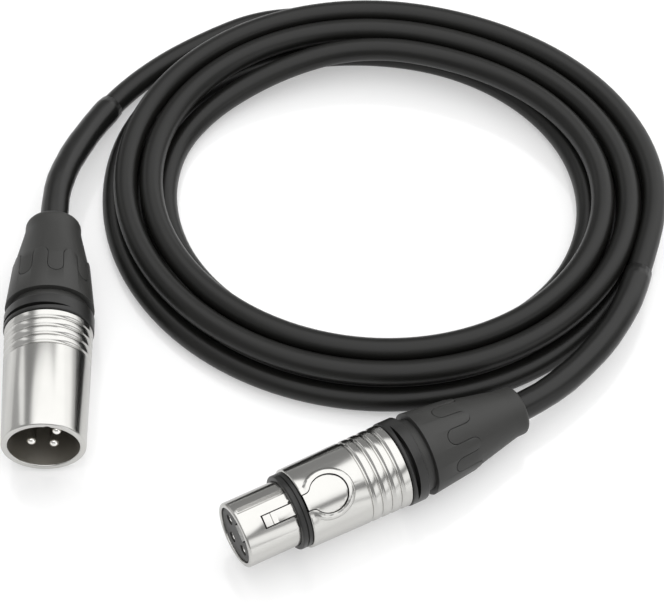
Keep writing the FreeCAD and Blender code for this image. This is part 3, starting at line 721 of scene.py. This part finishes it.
def button_bead():
    """The raised bead: one outline after another, each at its own height, bridged and rolled on."""
    build = bmesh.new()
    loops = []
    for offset, height in BEAD:
        outline = button_outline(offset, BEAD_FRONT - FRONT_SPLAY * offset)
        line = [build.verts.new((height, around, along)) for around, along in outline]
        loops.append([build.edges.new(pair) for pair in zip(line, line[1:] + line[:1])])
    for before, after in zip(loops, loops[1:]):
        bmesh.ops.bridge_loops(build, edges=before + after)
    bmesh.ops.contextual_create(build, geom=loops[0])
    for vertex in build.verts:
        vertex.co.x *= smooth((vertex.co.z - BEAD_START) / BEAD_RISE) if vertex.co.x > 0 else 1
    made = bmesh.ops.extrude_edge_only(build, edges=loops[-1])
    floor = new_verts(made)
    bmesh.ops.translate(build, verts=floor, vec=(BEAD_FLOOR, 0, 0))
    floor_edges = [item for item in made["geom"] if isinstance(item, bmesh.types.BMEdge)
                   and all(vertex in floor for vertex in item.verts)]
    bmesh.ops.contextual_create(build, geom=floor_edges)
    slice_along(build, [AROUND_STEP * step for step in range(-10, 11)], (0, 1, 0))
    bmesh.ops.recalc_face_normals(build, faces=build.faces)
    roll_on_shell(build)
    return build


wall = outline_arc(SHELL_FRONT_RADIUS - SHELL_LIP, COLLAR_REAR + SHELL_LIP, SHELL_LIP, -90, 0)
wall += grooved_wall("socket", socket_radius, WALL_FROM)
wall += [(SOCKET_BORE, SHELL_REAR["socket"]), (SOCKET_BORE, COLLAR_REAR)]
socket_shell = object_from(turned(wall), "socket_shell_body")
carve(socket_shell, button_bead(), "UNION")
carve(socket_shell, button_cut())
soften(socket_shell, SHELL_BEVEL, 3)
finish_piece(socket_shell, SOCKET, "nickel", "cable", "shell", "female_shell")

# %% [markdown]
# ## Latch
# The button, its neck and the sprung tongue in front of it are one plate. The tongue shows in the
# window of the nose, with the tooth that catches the other connector standing on it. The spring
# stands in a shallow seat under the button.

# %% Shape the latch
PLATE_LOW, PLATE_HIGH, PLATE_FRONT = -2.6, -0.02, COLLAR_REAR + 0.2
TONGUE_HALF, TONGUE_LOW, TONGUE_HIGH = 1.35, 7.0, 7.8
TONGUE_FRONT, TONGUE_REAR = 5.7, 30.5
TOOTH_FRONT, TOOTH_REAR, TOOTH_TOP = 7.5, 8.7, 8.4
ABOVE_TONGUE = ((TONGUE_LOW, -6, 0), (12, 6, 40))
SPRING_SEAT, SEAT_DEPTH, LATCH_BEVEL = 1.5, 0.6, 0.16
plate = rolled_plate(button_outline(0.0, PLATE_FRONT), PLATE_LOW, PLATE_HIGH)
latch = object_from(plate, "latch_plate")
carve(latch, block(*ABOVE_TONGUE), "INTERSECT")
carve(latch, block((TONGUE_LOW, -TONGUE_HALF, TONGUE_FRONT),
                   (TONGUE_HIGH, TONGUE_HALF, TONGUE_REAR)), "UNION")
carve(latch, block((TONGUE_HIGH - 0.2, -TONGUE_HALF, TOOTH_FRONT),
                   (TOOTH_TOP, TONGUE_HALF, TOOTH_REAR)), "UNION")
seat = rod(SPRING_SEAT, 6.5, TONGUE_LOW + SEAT_DEPTH)
bmesh.ops.rotate(seat, verts=seat.verts, matrix=Matrix.Rotation(pi / 2, 3, "Y"))
bmesh.ops.translate(seat, verts=seat.verts, vec=(0, 0, BUTTON_STATION))
carve(latch, seat)
soften(latch, LATCH_BEVEL, 3)
finish_piece(latch, SOCKET, "nickel", "latch", "shell", "female_latch")

# %% [markdown]
# ## Nose
# The nose is a plain tube with a rounded lip, the latch window and a finely ribbed contact strip
# that lies a hair above it. A metal key stands in the keyway behind its mouth, and that is the
# bright spot at the face's edge.

# %% Turn the nose and cut its window
NOSE_REAR, INNER_LIP, OUTER_LIP, NOSE_BEVEL = 35.5, 0.3, 0.6, 0.07
WINDOW = ((6.0, -1.62, 5.3), (10, 1.62, 32))
KEY_LOW, KEY_HALF, KEY_FRONT, KEY_REAR = 3.1, 2.0, 0.35, 4.6
STRIP_ANGLE, STRIP_HALF, STRIP_RISE, STRIP_FRONT = -38, 0.95, 0.16, 0.9
RIB_COUNT, FIRST_RIB, RIB_PITCH, RIB_HALF, RIB_RISE, RIB_FRONT = 4, -0.25, 0.3, 0.07, 0.1, 1.3
nose_outline = outline_arc(NOSE_BORE + INNER_LIP, INNER_LIP, INNER_LIP, 180, 270, 4)
nose_outline += outline_arc(NOSE_RADIUS - OUTER_LIP, OUTER_LIP, OUTER_LIP, -90, 0, 8)
nose_outline += [(NOSE_RADIUS, NOSE_REAR), (NOSE_BORE, NOSE_REAR)]
nose = object_from(turned(nose_outline), "socket_nose_tube")
carve(nose, block(*WINDOW))
carve(nose, button_cut())
strip = block((NOSE_RADIUS - 0.5, -STRIP_HALF, STRIP_FRONT),
              (NOSE_RADIUS + STRIP_RISE, STRIP_HALF, COLLAR_FRONT + 0.3))
carve(nose, turned_about_axis(strip, STRIP_ANGLE), "UNION")
for rib in range(RIB_COUNT):
    y = rib * RIB_PITCH + FIRST_RIB
    ridge = block((NOSE_RADIUS, y - RIB_HALF, RIB_FRONT),
                  (NOSE_RADIUS + STRIP_RISE + RIB_RISE, y + RIB_HALF, COLLAR_FRONT + 0.2))
    carve(nose, turned_about_axis(ridge, STRIP_ANGLE), "UNION")
carve(nose, block((KEY_LOW, -KEY_HALF, KEY_FRONT), (NOSE_BORE + 0.3, KEY_HALF, KEY_REAR)), "UNION")
soften(nose, NOSE_BEVEL, 2)
finish_piece(nose, SOCKET, "nickel", "cable", "shell", "female_nose")

# %% [markdown]
# ## Collar
# A black plastic ring closes the shell in front, with one fine line round it. It comes off the
# lathe in one go, because the line is only two more corners of its outline.

# %% Turn the collar
COLLAR_RADIUS, COLLAR_LIP, COLLAR_HEEL = 9.15, 0.35, 0.2
COLLAR_LINE = ((COLLAR_RADIUS, 14.15), (8.85, 14.3), (8.85, 14.5), (COLLAR_RADIUS, 14.65))
collar_outline = [(SOCKET_BORE, COLLAR_REAR), (SOCKET_BORE, COLLAR_FRONT)]
collar_outline += outline_arc(COLLAR_RADIUS - COLLAR_LIP, COLLAR_FRONT + COLLAR_LIP, COLLAR_LIP, -90, 0, 5)
collar_outline += COLLAR_LINE
collar_outline += outline_arc(8.95, COLLAR_REAR - COLLAR_HEEL, COLLAR_HEEL, 0, 90, 4)
collar = object_from(turned(collar_outline), "socket_collar_ring")
finish_piece(collar, SOCKET, "black_plastic", "cable", "black_plastic", "female_collar")

# %% [markdown]
# ## Socket face
# The dark moulding fills the nose and carries three contacts. Each hole has a narrow mouth, and the
# bright contact sits just behind it. The moulding is milled from a solid, with room for what passes
# through it.

# %% Mould the insert and its contacts
INSERT_RADIUS, INSERT_FACE, INSERT_REAR = 6.7, 0.5, 34.5
LIP_RADIUS, LIP_REAR, HOLE_RADIUS, HOLE_FRONT = 1.32, 2, 1.55, 0.95
POCKETS = (
    #  what it is for: low corner, high corner
    ("tongue", (5.0, -1.75, -1), (8, 1.75, 32.5)),
    ("keyway", (KEY_LOW - 0.25, -KEY_HALF - 0.3, -1), (8, KEY_HALF + 0.3, 5.0)),
    ("button", (5.0, -5.4, 15), (8, 5.4, 27.2)),
)
CONTACT_OUTLINE = ((1.5, 1.15), (1.5, 33.0), (1.2, 33.0), (1.2, 1.15), (1.26, 1.0), (1.42, 1.0))
insert_outline = [(0, INSERT_REAR), (INSERT_RADIUS, INSERT_REAR), (INSERT_RADIUS, INSERT_FACE + 0.15),
                  (6.55, INSERT_FACE), (0, INSERT_FACE)]
insert = object_from(turned(insert_outline, closed=False), "socket_insert_moulding")
for purpose, low, high in POCKETS:
    carve(insert, block(low, high))
    print("room for the", purpose)
for number, angle in enumerate(CONTACT_ANGLES, start=1):
    x, y = CONTACT_CIRCLE * cos(radians(angle)), CONTACT_CIRCLE * sin(radians(angle))
    carve(insert, rod(LIP_RADIUS, -1, LIP_REAR, x, y))
    carve(insert, rod(HOLE_RADIUS, HOLE_FRONT, 40, x, y))
    tube = turned(CONTACT_OUTLINE, steps=32)
    bmesh.ops.translate(tube, verts=tube.verts, vec=(x, y, 0))
    contact = object_from(tube, "socket_contact_%d" % number)
    finish_piece(contact, SOCKET, "contact_metal", "cable", "pin", "female_contact_%d" % number)
finish_piece(insert, SOCKET, "insert_plastic", "cable", "insert", "female_insert")

# %% [markdown]
# ## Plug shell
# The plug is one open tube with a thick round rim and a notch along its bore. Its inner wall is
# duller than its outside and sees little but itself, so it looks dark.

# %% Turn the plug shell
PLUG_MOUTH_RADIUS, PLUG_REAR_RADIUS, PLUG_BORE = 10.05, 10.75, 8.45
RIM_INNER, RIM_OUTER, WALL_START = 0.35, 0.45, 1.2
NOTCH_ANGLE, NOTCH_PLACE, NOTCH_RADIUS, NOTCH_REAR = 44, 8.1, 1.0, 22
LINING_WALL, LINING_START = 0.8, 0.5


def plug_radius(station):
    return PLUG_MOUTH_RADIUS + station / SHELL_REAR["plug"] * (PLUG_REAR_RADIUS - PLUG_MOUTH_RADIUS)


plug_outline = outline_arc(PLUG_BORE + RIM_INNER, RIM_INNER, RIM_INNER, 180, 270, 5)
plug_outline += outline_arc(PLUG_MOUTH_RADIUS - RIM_OUTER, RIM_OUTER, RIM_OUTER, -90, 0, 6)
plug_outline += grooved_wall("plug", plug_radius, WALL_START)
plug_outline += [(PLUG_BORE, WALL_REAR["plug"])]
plug_shell = object_from(turned(plug_outline), "plug_shell_body")
turn = radians(NOTCH_ANGLE)
carve(plug_shell, rod(NOTCH_RADIUS, -1, NOTCH_REAR, NOTCH_PLACE * cos(turn), NOTCH_PLACE * sin(turn)))
finish_piece(plug_shell, PLUG, "nickel", "cable", "shell", "male_shell",
             lining=("nickel_inside", PLUG_BORE + LINING_WALL, LINING_START))

# %% [markdown]
# ## Pins
# Three pins stand in the plug's dark with bright round tips. Each is one turned outline: a rounded
# nose, a straight pin and a slightly thicker shank in the disc.

# %% Turn the pins
PIN_RADIUS, PIN_TIP, PIN_REAR, NOSE_BEND = 1.2, 2.4, 28.0, 1.0
SHANK = ((PIN_RADIUS, 15.4), (1.4, 15.55), (1.4, PIN_REAR), (0, PIN_REAR))
for number, angle in enumerate(CONTACT_ANGLES, start=1):
    outline = [(0, PIN_TIP)]
    outline += outline_arc(PIN_RADIUS - NOSE_BEND, PIN_TIP + NOSE_BEND, NOSE_BEND, -90, 0, 8)
    outline += SHANK
    pin_build = turned(outline, closed=False, steps=48)
    spot = (CONTACT_CIRCLE * cos(radians(angle)), CONTACT_CIRCLE * sin(radians(angle)), 0)
    bmesh.ops.translate(pin_build, verts=pin_build.verts, vec=spot)
    pin = object_from(pin_build, "plug_contact_pin_%d" % number)
    finish_piece(pin, PLUG, "contact_metal", "cable", "pin", "male_pin_%d" % number)

# %% [markdown]
# ## Rear ends
# Behind each shell comes a loose ring, then a hard nut, then the soft relief. Both connectors have
# the same three pieces in slightly different sizes, so one table holds the sizes and one function
# makes each piece.

# %% Name the rear ends' sizes
ENDS = {
    #  taper: where it ends and its radius there; slit: its angle, its half reach and its width
    "socket": {"matrix": SOCKET, "node": "female", "rear": SHELL_REAR_RADIUS, "bore": SOCKET_BORE,
               "taper": (24.2, 6.05), "end": 27.9, "corner": 1.2, "slit": (8, 62, 1.25)},
    "plug": {"matrix": PLUG, "node": "male", "rear": PLUG_REAR_RADIUS, "bore": PLUG_BORE,
             "taper": (22.6, 6.9), "end": 26.7, "corner": 2.1, "slit": (2, 64, 1.05)},
}
print("rear ends:", list(ENDS))

# %% [markdown]
# ### Loose ring
# The ring has a slit that is wide on one side and runs out to nothing on the other. A thin disc is
# turned, its two faces are pushed apart on that side, and what it takes out of the ring is the
# slit.

# %% Turn a loose ring
RING_GAP, RING_PROUD, RING_FRONT_LIP, RING_REAR_LIP = 0.05, 0.25, 0.35, 0.3
SLIT_PLACE, SLIT_FLOOR, SLIT_FADE, DISC_WALL = 1.35, 0.45, 0.7, 0.01


def boot_ring(end, facts):
    """The loose ring, with its slit cut by a disc that is thicker on one side."""
    front, rear = WALL_REAR[end] + RING_GAP, WALL_REAR[end] + RING_LENGTH - 0.1
    radius, bore = facts["rear"] + RING_PROUD, facts["bore"] - RING_GAP
    outline = [(bore, rear), (bore, front)]
    outline += outline_arc(radius - RING_FRONT_LIP, front + RING_FRONT_LIP, RING_FRONT_LIP, -90, 0, 4)
    outline += outline_arc(radius - RING_REAR_LIP, rear - RING_REAR_LIP, RING_REAR_LIP, 0, 90, 4)
    ring = object_from(turned(outline), "%s_loose_ring" % end)
    angle, reach, width = facts["slit"]
    middle = front + SLIT_PLACE
    disc = turned([(bore + SLIT_FLOOR, middle), (radius + 1, middle),
                   (radius + 1, middle + DISC_WALL), (bore + SLIT_FLOOR, middle + DISC_WALL)])
    edge = cos(radians(reach))
    for vertex in disc.verts:
        around = Vector((vertex.co.x, vertex.co.y)).normalized().x
        widening = width * max(0.0, (around - edge) / (1 - edge)) ** SLIT_FADE
        vertex.co.z += widening / 2 if vertex.co.z > middle + DISC_WALL / 2 else -widening / 2
    carve(ring, turned_about_axis(disc, angle))
    finish_piece(ring, facts["matrix"], "black_plastic", "%s_ring" % end, "black_plastic",
                 facts["node"] + "_boot_ring")


print("a ring's slit starts", SLIT_PLACE, "mm behind its front")

# %% [markdown]
# ### The seam between nut and relief
# The nut's eight fingers mesh with eight tongues of the relief in one wavy seam. One repeat of it
# is drawn flat, drawn out to a straight edge, copied eight times and rolled up. Both sides come
# from the same points, so they fit each other.

# %% Draw the seam
TONGUES = 8
SEAM_TIP, SEAM_ROOT, TONGUE_WIDTH, SEAM_GAP = 5.1, 12.8, 4.4, 0.15
TIP_STEPS, ROOT_STEPS, SEAM_MERGE = 8, 16, 1e-3


def seam_runs(pitch, gap):
    """The round stretches of one repeat of the seam; the straight sides between them need no points."""
    half, tip, root = TONGUE_WIDTH / 2 - gap, SEAM_TIP + gap, SEAM_ROOT + gap
    finger = pitch / 2 - half
    quarter = [radians(90 * step / TIP_STEPS) for step in range(TIP_STEPS + 1)]
    first = [(half * sin(turn), tip + half * (1 - cos(turn))) for turn in quarter]
    last = [(pitch - around, along) for around, along in first[::-1]]
    middle = [(pitch / 2 - finger * cos(turn), root - finger + finger * sin(turn))
              for turn in [radians(180 * step / ROOT_STEPS) for step in range(ROOT_STEPS + 1)]]
    return (first, middle, last), tip + half, root - finger


def seam_sheet(pitch, gap, straight, levels, profile, across):
    """The wall on one side of the seam: seam points drawn out to a straight edge, repeated, rolled."""
    runs, tongue_level, finger_level = seam_runs(pitch, gap)
    build = bmesh.new()
    for run in runs:
        line = [build.verts.new((0, around, along)) for around, along in run]
        edges = [build.edges.new(pair) for pair in zip(line, line[1:])]
        for vertex in new_verts(bmesh.ops.extrude_edge_only(build, edges=edges)):
            vertex.co.z = straight
    slice_along(build, [tongue_level if straight < SEAM_TIP else finger_level] + levels)
    repeat = build.verts[:] + build.edges[:] + build.faces[:]
    for index in range(1, TONGUES):
        copied = new_verts(bmesh.ops.duplicate(build, geom=repeat))
        bmesh.ops.translate(build, verts=copied, vec=(0, pitch * index, 0))
    roll_up(build, across, profile)
    bmesh.ops.remove_doubles(build, verts=build.verts, dist=SEAM_MERGE)
    bmesh.ops.recalc_face_normals(build, faces=build.faces)
    return build


def thicken(thing, wall):
    """Gives a sheet its wall, inwards."""
    modifier = thing.modifiers.new("wall", "SOLIDIFY")
    modifier.thickness, modifier.offset = wall, -1
    bake(thing)


print("seam:", TONGUES, "tongues,", SEAM_GAP, "mm apart from the fingers")

# %% [markdown]
# ### Nut
# The hard nut is the seam's front side, drawn out to a straight edge and given a wall. A plain neck
# runs from it into the shell, and is what shows in the gap behind the ring.

# %% Make a nut
BOOT_PROUD, NUT_TAPER, NUT_WALL, NUT_BEVEL = 0.15, 1.4, 1.6, 0.12
NECK_REACH, NECK_SLACK, NECK_DEPTH = 5, 0.15, 1.35


def nut(end, facts):
    """The hard nut: a tapered wall that ends in eight fingers, and the neck in front of it."""
    front = WALL_REAR[end] + RING_LENGTH + BOOT_GAP
    radius = facts["rear"] + BOOT_PROUD
    pitch = 2 * pi * radius / TONGUES

    def profile(along):
        return radius - NUT_TAPER * along / SEAM_ROOT, front + along

    thing = object_from(seam_sheet(pitch, 0.0, 0.0, [], profile, radius), "%s_boot_nut" % end)
    thicken(thing, NUT_WALL)
    soften(thing, NUT_BEVEL, 2)
    inner, outer, thick = facts["bore"] - 1.0, facts["bore"] - NECK_SLACK, radius - NECK_DEPTH
    start, step_back, stop = SHELL_REAR[end] - NECK_REACH, front - BOOT_GAP, front + 1.0
    neck = turned([(inner, stop), (inner, start), (outer, start), (outer, step_back),
                   (thick, step_back), (thick, stop)])
    add_shape(thing, neck)
    finish_piece(thing, facts["matrix"], "boot_plastic", "%s_boot" % end, "boot",
                 facts["node"] + "_boot")


print("a nut stands", BOOT_PROUD, "mm proud of the shell's rear")

# %% [markdown]
# ### Relief
# The soft relief is the seam's rear side. Its profile runs down a taper to a waist and round the
# end to the hole for the cable, and the sheet is sliced at each corner of that profile so that it
# can bend there.

# %% Make a relief
RELIEF_WALL, RELIEF_STEP, RELIEF_BORE = 1.0, 0.35, 3.88
TONGUE_STEEP, END_STEPS, END_TURN = 1.2, 6, 15


def relief(end, facts):
    """The soft relief: tongues, a taper, a waist and a rounded end with the cable's hole."""
    front = WALL_REAR[end] + RING_LENGTH + BOOT_GAP
    radius, corner, rear = facts["rear"] + BOOT_PROUD, facts["corner"], facts["end"]
    pitch = 2 * pi * radius / TONGUES
    taper_end, end_radius = facts["taper"]
    round_start = rear - corner
    steep = SEAM_ROOT - TONGUE_STEEP
    corners = [(0.0, radius, 0.0),
               (steep, radius - NUT_TAPER * (1 - TONGUE_STEEP / SEAM_ROOT), steep),
               (SEAM_ROOT + 0.1, radius - NUT_TAPER - RELIEF_STEP, SEAM_ROOT + 0.1),
               (taper_end - 0.8, end_radius + 0.28, taper_end - 0.8),
               (taper_end + 0.6, end_radius + 0.02, taper_end + 0.6),
               (round_start, end_radius, round_start)]
    run = round_start
    for step in range(1, END_STEPS + 1):
        turn = radians(END_TURN * step)
        run += corner * radians(END_TURN)
        corners.append((run, end_radius - corner * (1 - cos(turn)), round_start + corner * sin(turn)))
    far = run + end_radius - corner - RELIEF_BORE
    corners.append((far, RELIEF_BORE, rear))

    def profile(along):
        """Radius and station at a distance along the pattern."""
        for (start, r0, s0), (stop, r1, s1) in zip(corners, corners[1:]):
            if along <= stop + 1e-6:
                share = (along - start) / (stop - start)
                return r0 + (r1 - r0) * share, front + s0 + (s1 - s0) * share
        return corners[-1][1], front + corners[-1][2]

    levels = [distance for distance, _, _ in corners[1:-1]]
    sheet = seam_sheet(pitch, SEAM_GAP, far, levels, profile, radius)
    thing = object_from(sheet, "%s_boot_relief" % end)
    thicken(thing, RELIEF_WALL)
    finish_piece(thing, facts["matrix"], "boot_rubber", "%s_boot" % end, "soft_boot",
                 facts["node"] + "_boot_relief")


print("a relief's hole is", 2 * RELIEF_BORE, "mm across")

# %% [markdown]
# Now the three pieces are made for each connector in turn, from its row of sizes.

# %% Make both rear ends
for end, facts in ENDS.items():
    boot_ring(end, facts)
    nut(end, facts)
    relief(end, facts)

# %% [markdown]
# ## Shrink sleeves
# The first centimetres of each free stretch wear a shrink sleeve. It follows the cable's own line
# and is never perfectly even: the wall swells and tightens a little, and the cut end turns in.

# %% Shrink the sleeves on to the cable
SLEEVE_LENGTH = {"socket": 0.054, "plug": 0.045}
SLEEVE_RADIUS, SLEEVE_WALL, SLEEVE_END = 3.5, 0.42, 0.955
SWELL, SWELL_TURN, RIPPLE, RIPPLE_TURN = 0.012, 0.9, 0.008, 2.3


def stretch_of(line, length):
    """The first part of a line, up to a length."""
    kept, travelled = [line[0]], 0.0
    for before, after in zip(line, line[1:]):
        travelled += (after - before).length
        if travelled > length:
            break
        kept.append(after)
    return kept


def shrink_sleeve(end, line, node):
    """A sleeve over the first part of a line, with a wall that swells and tightens."""
    data = bpy.data.curves.new("sleeve_line", "CURVE")
    data.dimensions = "3D"
    data.bevel_depth, data.bevel_resolution = SLEEVE_RADIUS * MM, CORD_ROUNDNESS
    points = stretch_of(line, SLEEVE_LENGTH[end] + LEAD_INSET * MM)
    spline = data.splines.new("POLY")
    spline.points.add(len(points) - 1)
    for index, (slot, point) in enumerate(zip(spline.points, points)):
        slot.co = (*point, 1.0)
        slot.radius = 1.0 + SWELL * sin(index * SWELL_TURN) + RIPPLE * sin(index * RIPPLE_TURN)
    spline.points[-1].radius = SLEEVE_END
    carrier = bpy.data.objects.new("sleeve_line", data)
    bpy.context.scene.collection.objects.link(carrier)
    mesh = bpy.data.meshes.new_from_object(carrier)
    bpy.data.objects.remove(carrier)
    thing = bpy.data.objects.new("%s_shrink_sleeve" % end, mesh)
    bpy.context.scene.collection.objects.link(thing)
    build = bmesh.new()
    build.from_mesh(mesh)
    bmesh.ops.recalc_face_normals(build, faces=build.faces)
    build.to_mesh(mesh)
    build.free()
    thicken(thing, SLEEVE_WALL * MM)
    mesh = thing.data
    mesh.shade_smooth()
    mesh.materials.clear()
    mesh.materials.append(materials["sleeve_plastic"])
    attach(thing, "cable")
    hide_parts(node)
    print(thing.name, "faces", len(mesh.polygons))
    return thing


socket_sleeve = shrink_sleeve("socket", cable_line, "female_sleeve")
plug_sleeve = shrink_sleeve("plug", cable_line[::-1], "male_sleeve")

# %% [markdown]
# ## Table
# The table is white and slightly glossy, so the shells leave a faint reflection beside their
# shadow. Its whiteness is partly its own colour under the room and the lamp, and partly a little
# light of its own, which only the camera and shiny or clear surfaces see, so the shadows stay.

# %% Lay the table
TABLE_SIZE, TABLE_GLOW, TABLE_GREY = 6.0, 0.36, 0.66
TABLE_ROUGHNESS, TABLE_SPECULAR = 0.12, 0.6
table_material, tree, shader = new_material("table_white")
shader.inputs["Base Color"].default_value = (TABLE_GREY, TABLE_GREY, TABLE_GREY, 1)
shader.inputs["Roughness"].default_value = TABLE_ROUGHNESS
shader.inputs["Specular IOR Level"].default_value = TABLE_SPECULAR
path = tree.nodes.new("ShaderNodeLightPath")
camera_or_glossy = add_node(tree, "ShaderNodeMath", operation="MAXIMUM")
any_seen = add_node(tree, "ShaderNodeMath", operation="MAXIMUM")
strength = add_node(tree, "ShaderNodeMath", {1: TABLE_GLOW}, operation="MULTIPLY")
link = tree.links.new
link(path.outputs["Is Camera Ray"], camera_or_glossy.inputs[0])
link(path.outputs["Is Glossy Ray"], camera_or_glossy.inputs[1])
link(camera_or_glossy.outputs[0], any_seen.inputs[0])
link(path.outputs["Is Transmission Ray"], any_seen.inputs[1])
link(any_seen.outputs[0], strength.inputs[0])
link(strength.outputs[0], shader.inputs["Emission Strength"])
shader.inputs["Emission Color"].default_value = (1, 1, 1, 1)
table_build = bmesh.new()
bmesh.ops.create_grid(table_build, size=TABLE_SIZE / 2)
table = object_from(table_build, "table")
table.data.materials.append(table_material)
print("table", TABLE_SIZE, "m")

# %% [markdown]
# ## Light
# Metal shows nothing of its own: its bands are the room. The room is therefore painted by
# direction, as a studio is built from cards: a white ceiling card, a white card to the right and
# behind, another low in front on the right, a grey one to the left with a thin brighter strip in
# it, and dim gaps between them. The ceiling is also what lights the table.

# %% Paint the room by direction
ROOM_LEVEL = 0.36
CARDS = (
    #  name, brightness, soft limits along X, Y or Z: axis, none of it here, all of it here
    ("ceiling", 1.66, (("Z", 0.62, 0.73), ("X", -0.55, -0.33))),
    ("right_card", 1.66, (("X", 0.20, 0.42), ("Y", 0.0, 0.25), ("Z", -0.05, 0.25))),
    ("left_card", 0.56, (("X", -0.55, -0.72),)),
    ("strip", 1.35, (("X", -0.64, -0.69), ("X", -0.81, -0.77), ("Y", 0.2, 0.4), ("Z", 0.1, 0.25))),
    ("front_card", 1.50, (("X", 0.35, 0.55), ("Y", -0.25, -0.45),
                          ("Z", -0.08, 0.2), ("Z", 0.55, 0.42))),
)
world = bpy.data.worlds.new("studio")
bpy.context.scene.world = world
world.use_nodes = True
tree = world.node_tree
link = tree.links.new
direction = tree.nodes.new("ShaderNodeTexCoord")
split = tree.nodes.new("ShaderNodeSeparateXYZ")
link(direction.outputs["Generated"], split.inputs[0])
brightest = None
for name, brightness, limits in CARDS:
    card = None
    for axis, none_at, all_at in limits:
        edge = add_node(tree, "ShaderNodeMapRange", {"From Min": none_at, "From Max": all_at},
                        interpolation_type="SMOOTHSTEP")
        link(split.outputs[axis], edge.inputs["Value"])
        if card:
            both = add_node(tree, "ShaderNodeMath", operation="MULTIPLY")
            link(card, both.inputs[0])
            link(edge.outputs[0], both.inputs[1])
            card = both.outputs[0]
        else:
            card = edge.outputs[0]
    level = add_node(tree, "ShaderNodeMapRange", {"To Min": ROOM_LEVEL, "To Max": brightness})
    link(card, level.inputs["Value"])
    if brightest:
        larger = add_node(tree, "ShaderNodeMath", operation="MAXIMUM")
        link(brightest, larger.inputs[0])
        link(level.outputs[0], larger.inputs[1])
        brightest = larger.outputs[0]
    else:
        brightest = level.outputs[0]
tree.nodes["Background"].inputs["Color"].default_value = (1, 1, 1, 1)
link(brightest, tree.nodes["Background"].inputs["Strength"])
bpy.context.scene.view_settings.view_transform = "Standard"
print("cards:", len(CARDS))

# %% [markdown]
# ## Lamp
# One soft lamp high on the right gives the shadows a side to fall to. It is weak, because the room
# already lights everything evenly.

# %% Hang the lamp
LAMP_PLACE, LAMP_TARGET = Vector((0.45, 0.35, 1.1)), Vector((0.02, 0.03, 0.0))
LAMP_SIZE, LAMP_WATTS = 1.8, 1.7
lamp_data = bpy.data.lights.new("soft_box", "AREA")
lamp_data.shape = "RECTANGLE"
lamp_data.size = lamp_data.size_y = LAMP_SIZE
lamp_data.energy = LAMP_WATTS
lamp = bpy.data.objects.new("soft_box", lamp_data)
lamp.location = LAMP_PLACE
lamp.rotation_euler = (LAMP_TARGET - LAMP_PLACE).to_track_quat("-Z", "Y").to_euler()
bpy.context.scene.collection.objects.link(lamp)
print("lamp:", LAMP_WATTS, "W,", LAMP_SIZE, "m wide")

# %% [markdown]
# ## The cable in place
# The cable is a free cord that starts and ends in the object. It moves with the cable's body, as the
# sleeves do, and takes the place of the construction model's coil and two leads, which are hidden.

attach(cable, "cable")
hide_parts("coil", "female_lead", "male_lead")
print("the cord leaves the socket's boot at station", round(boot_end("socket"), 2), "mm")
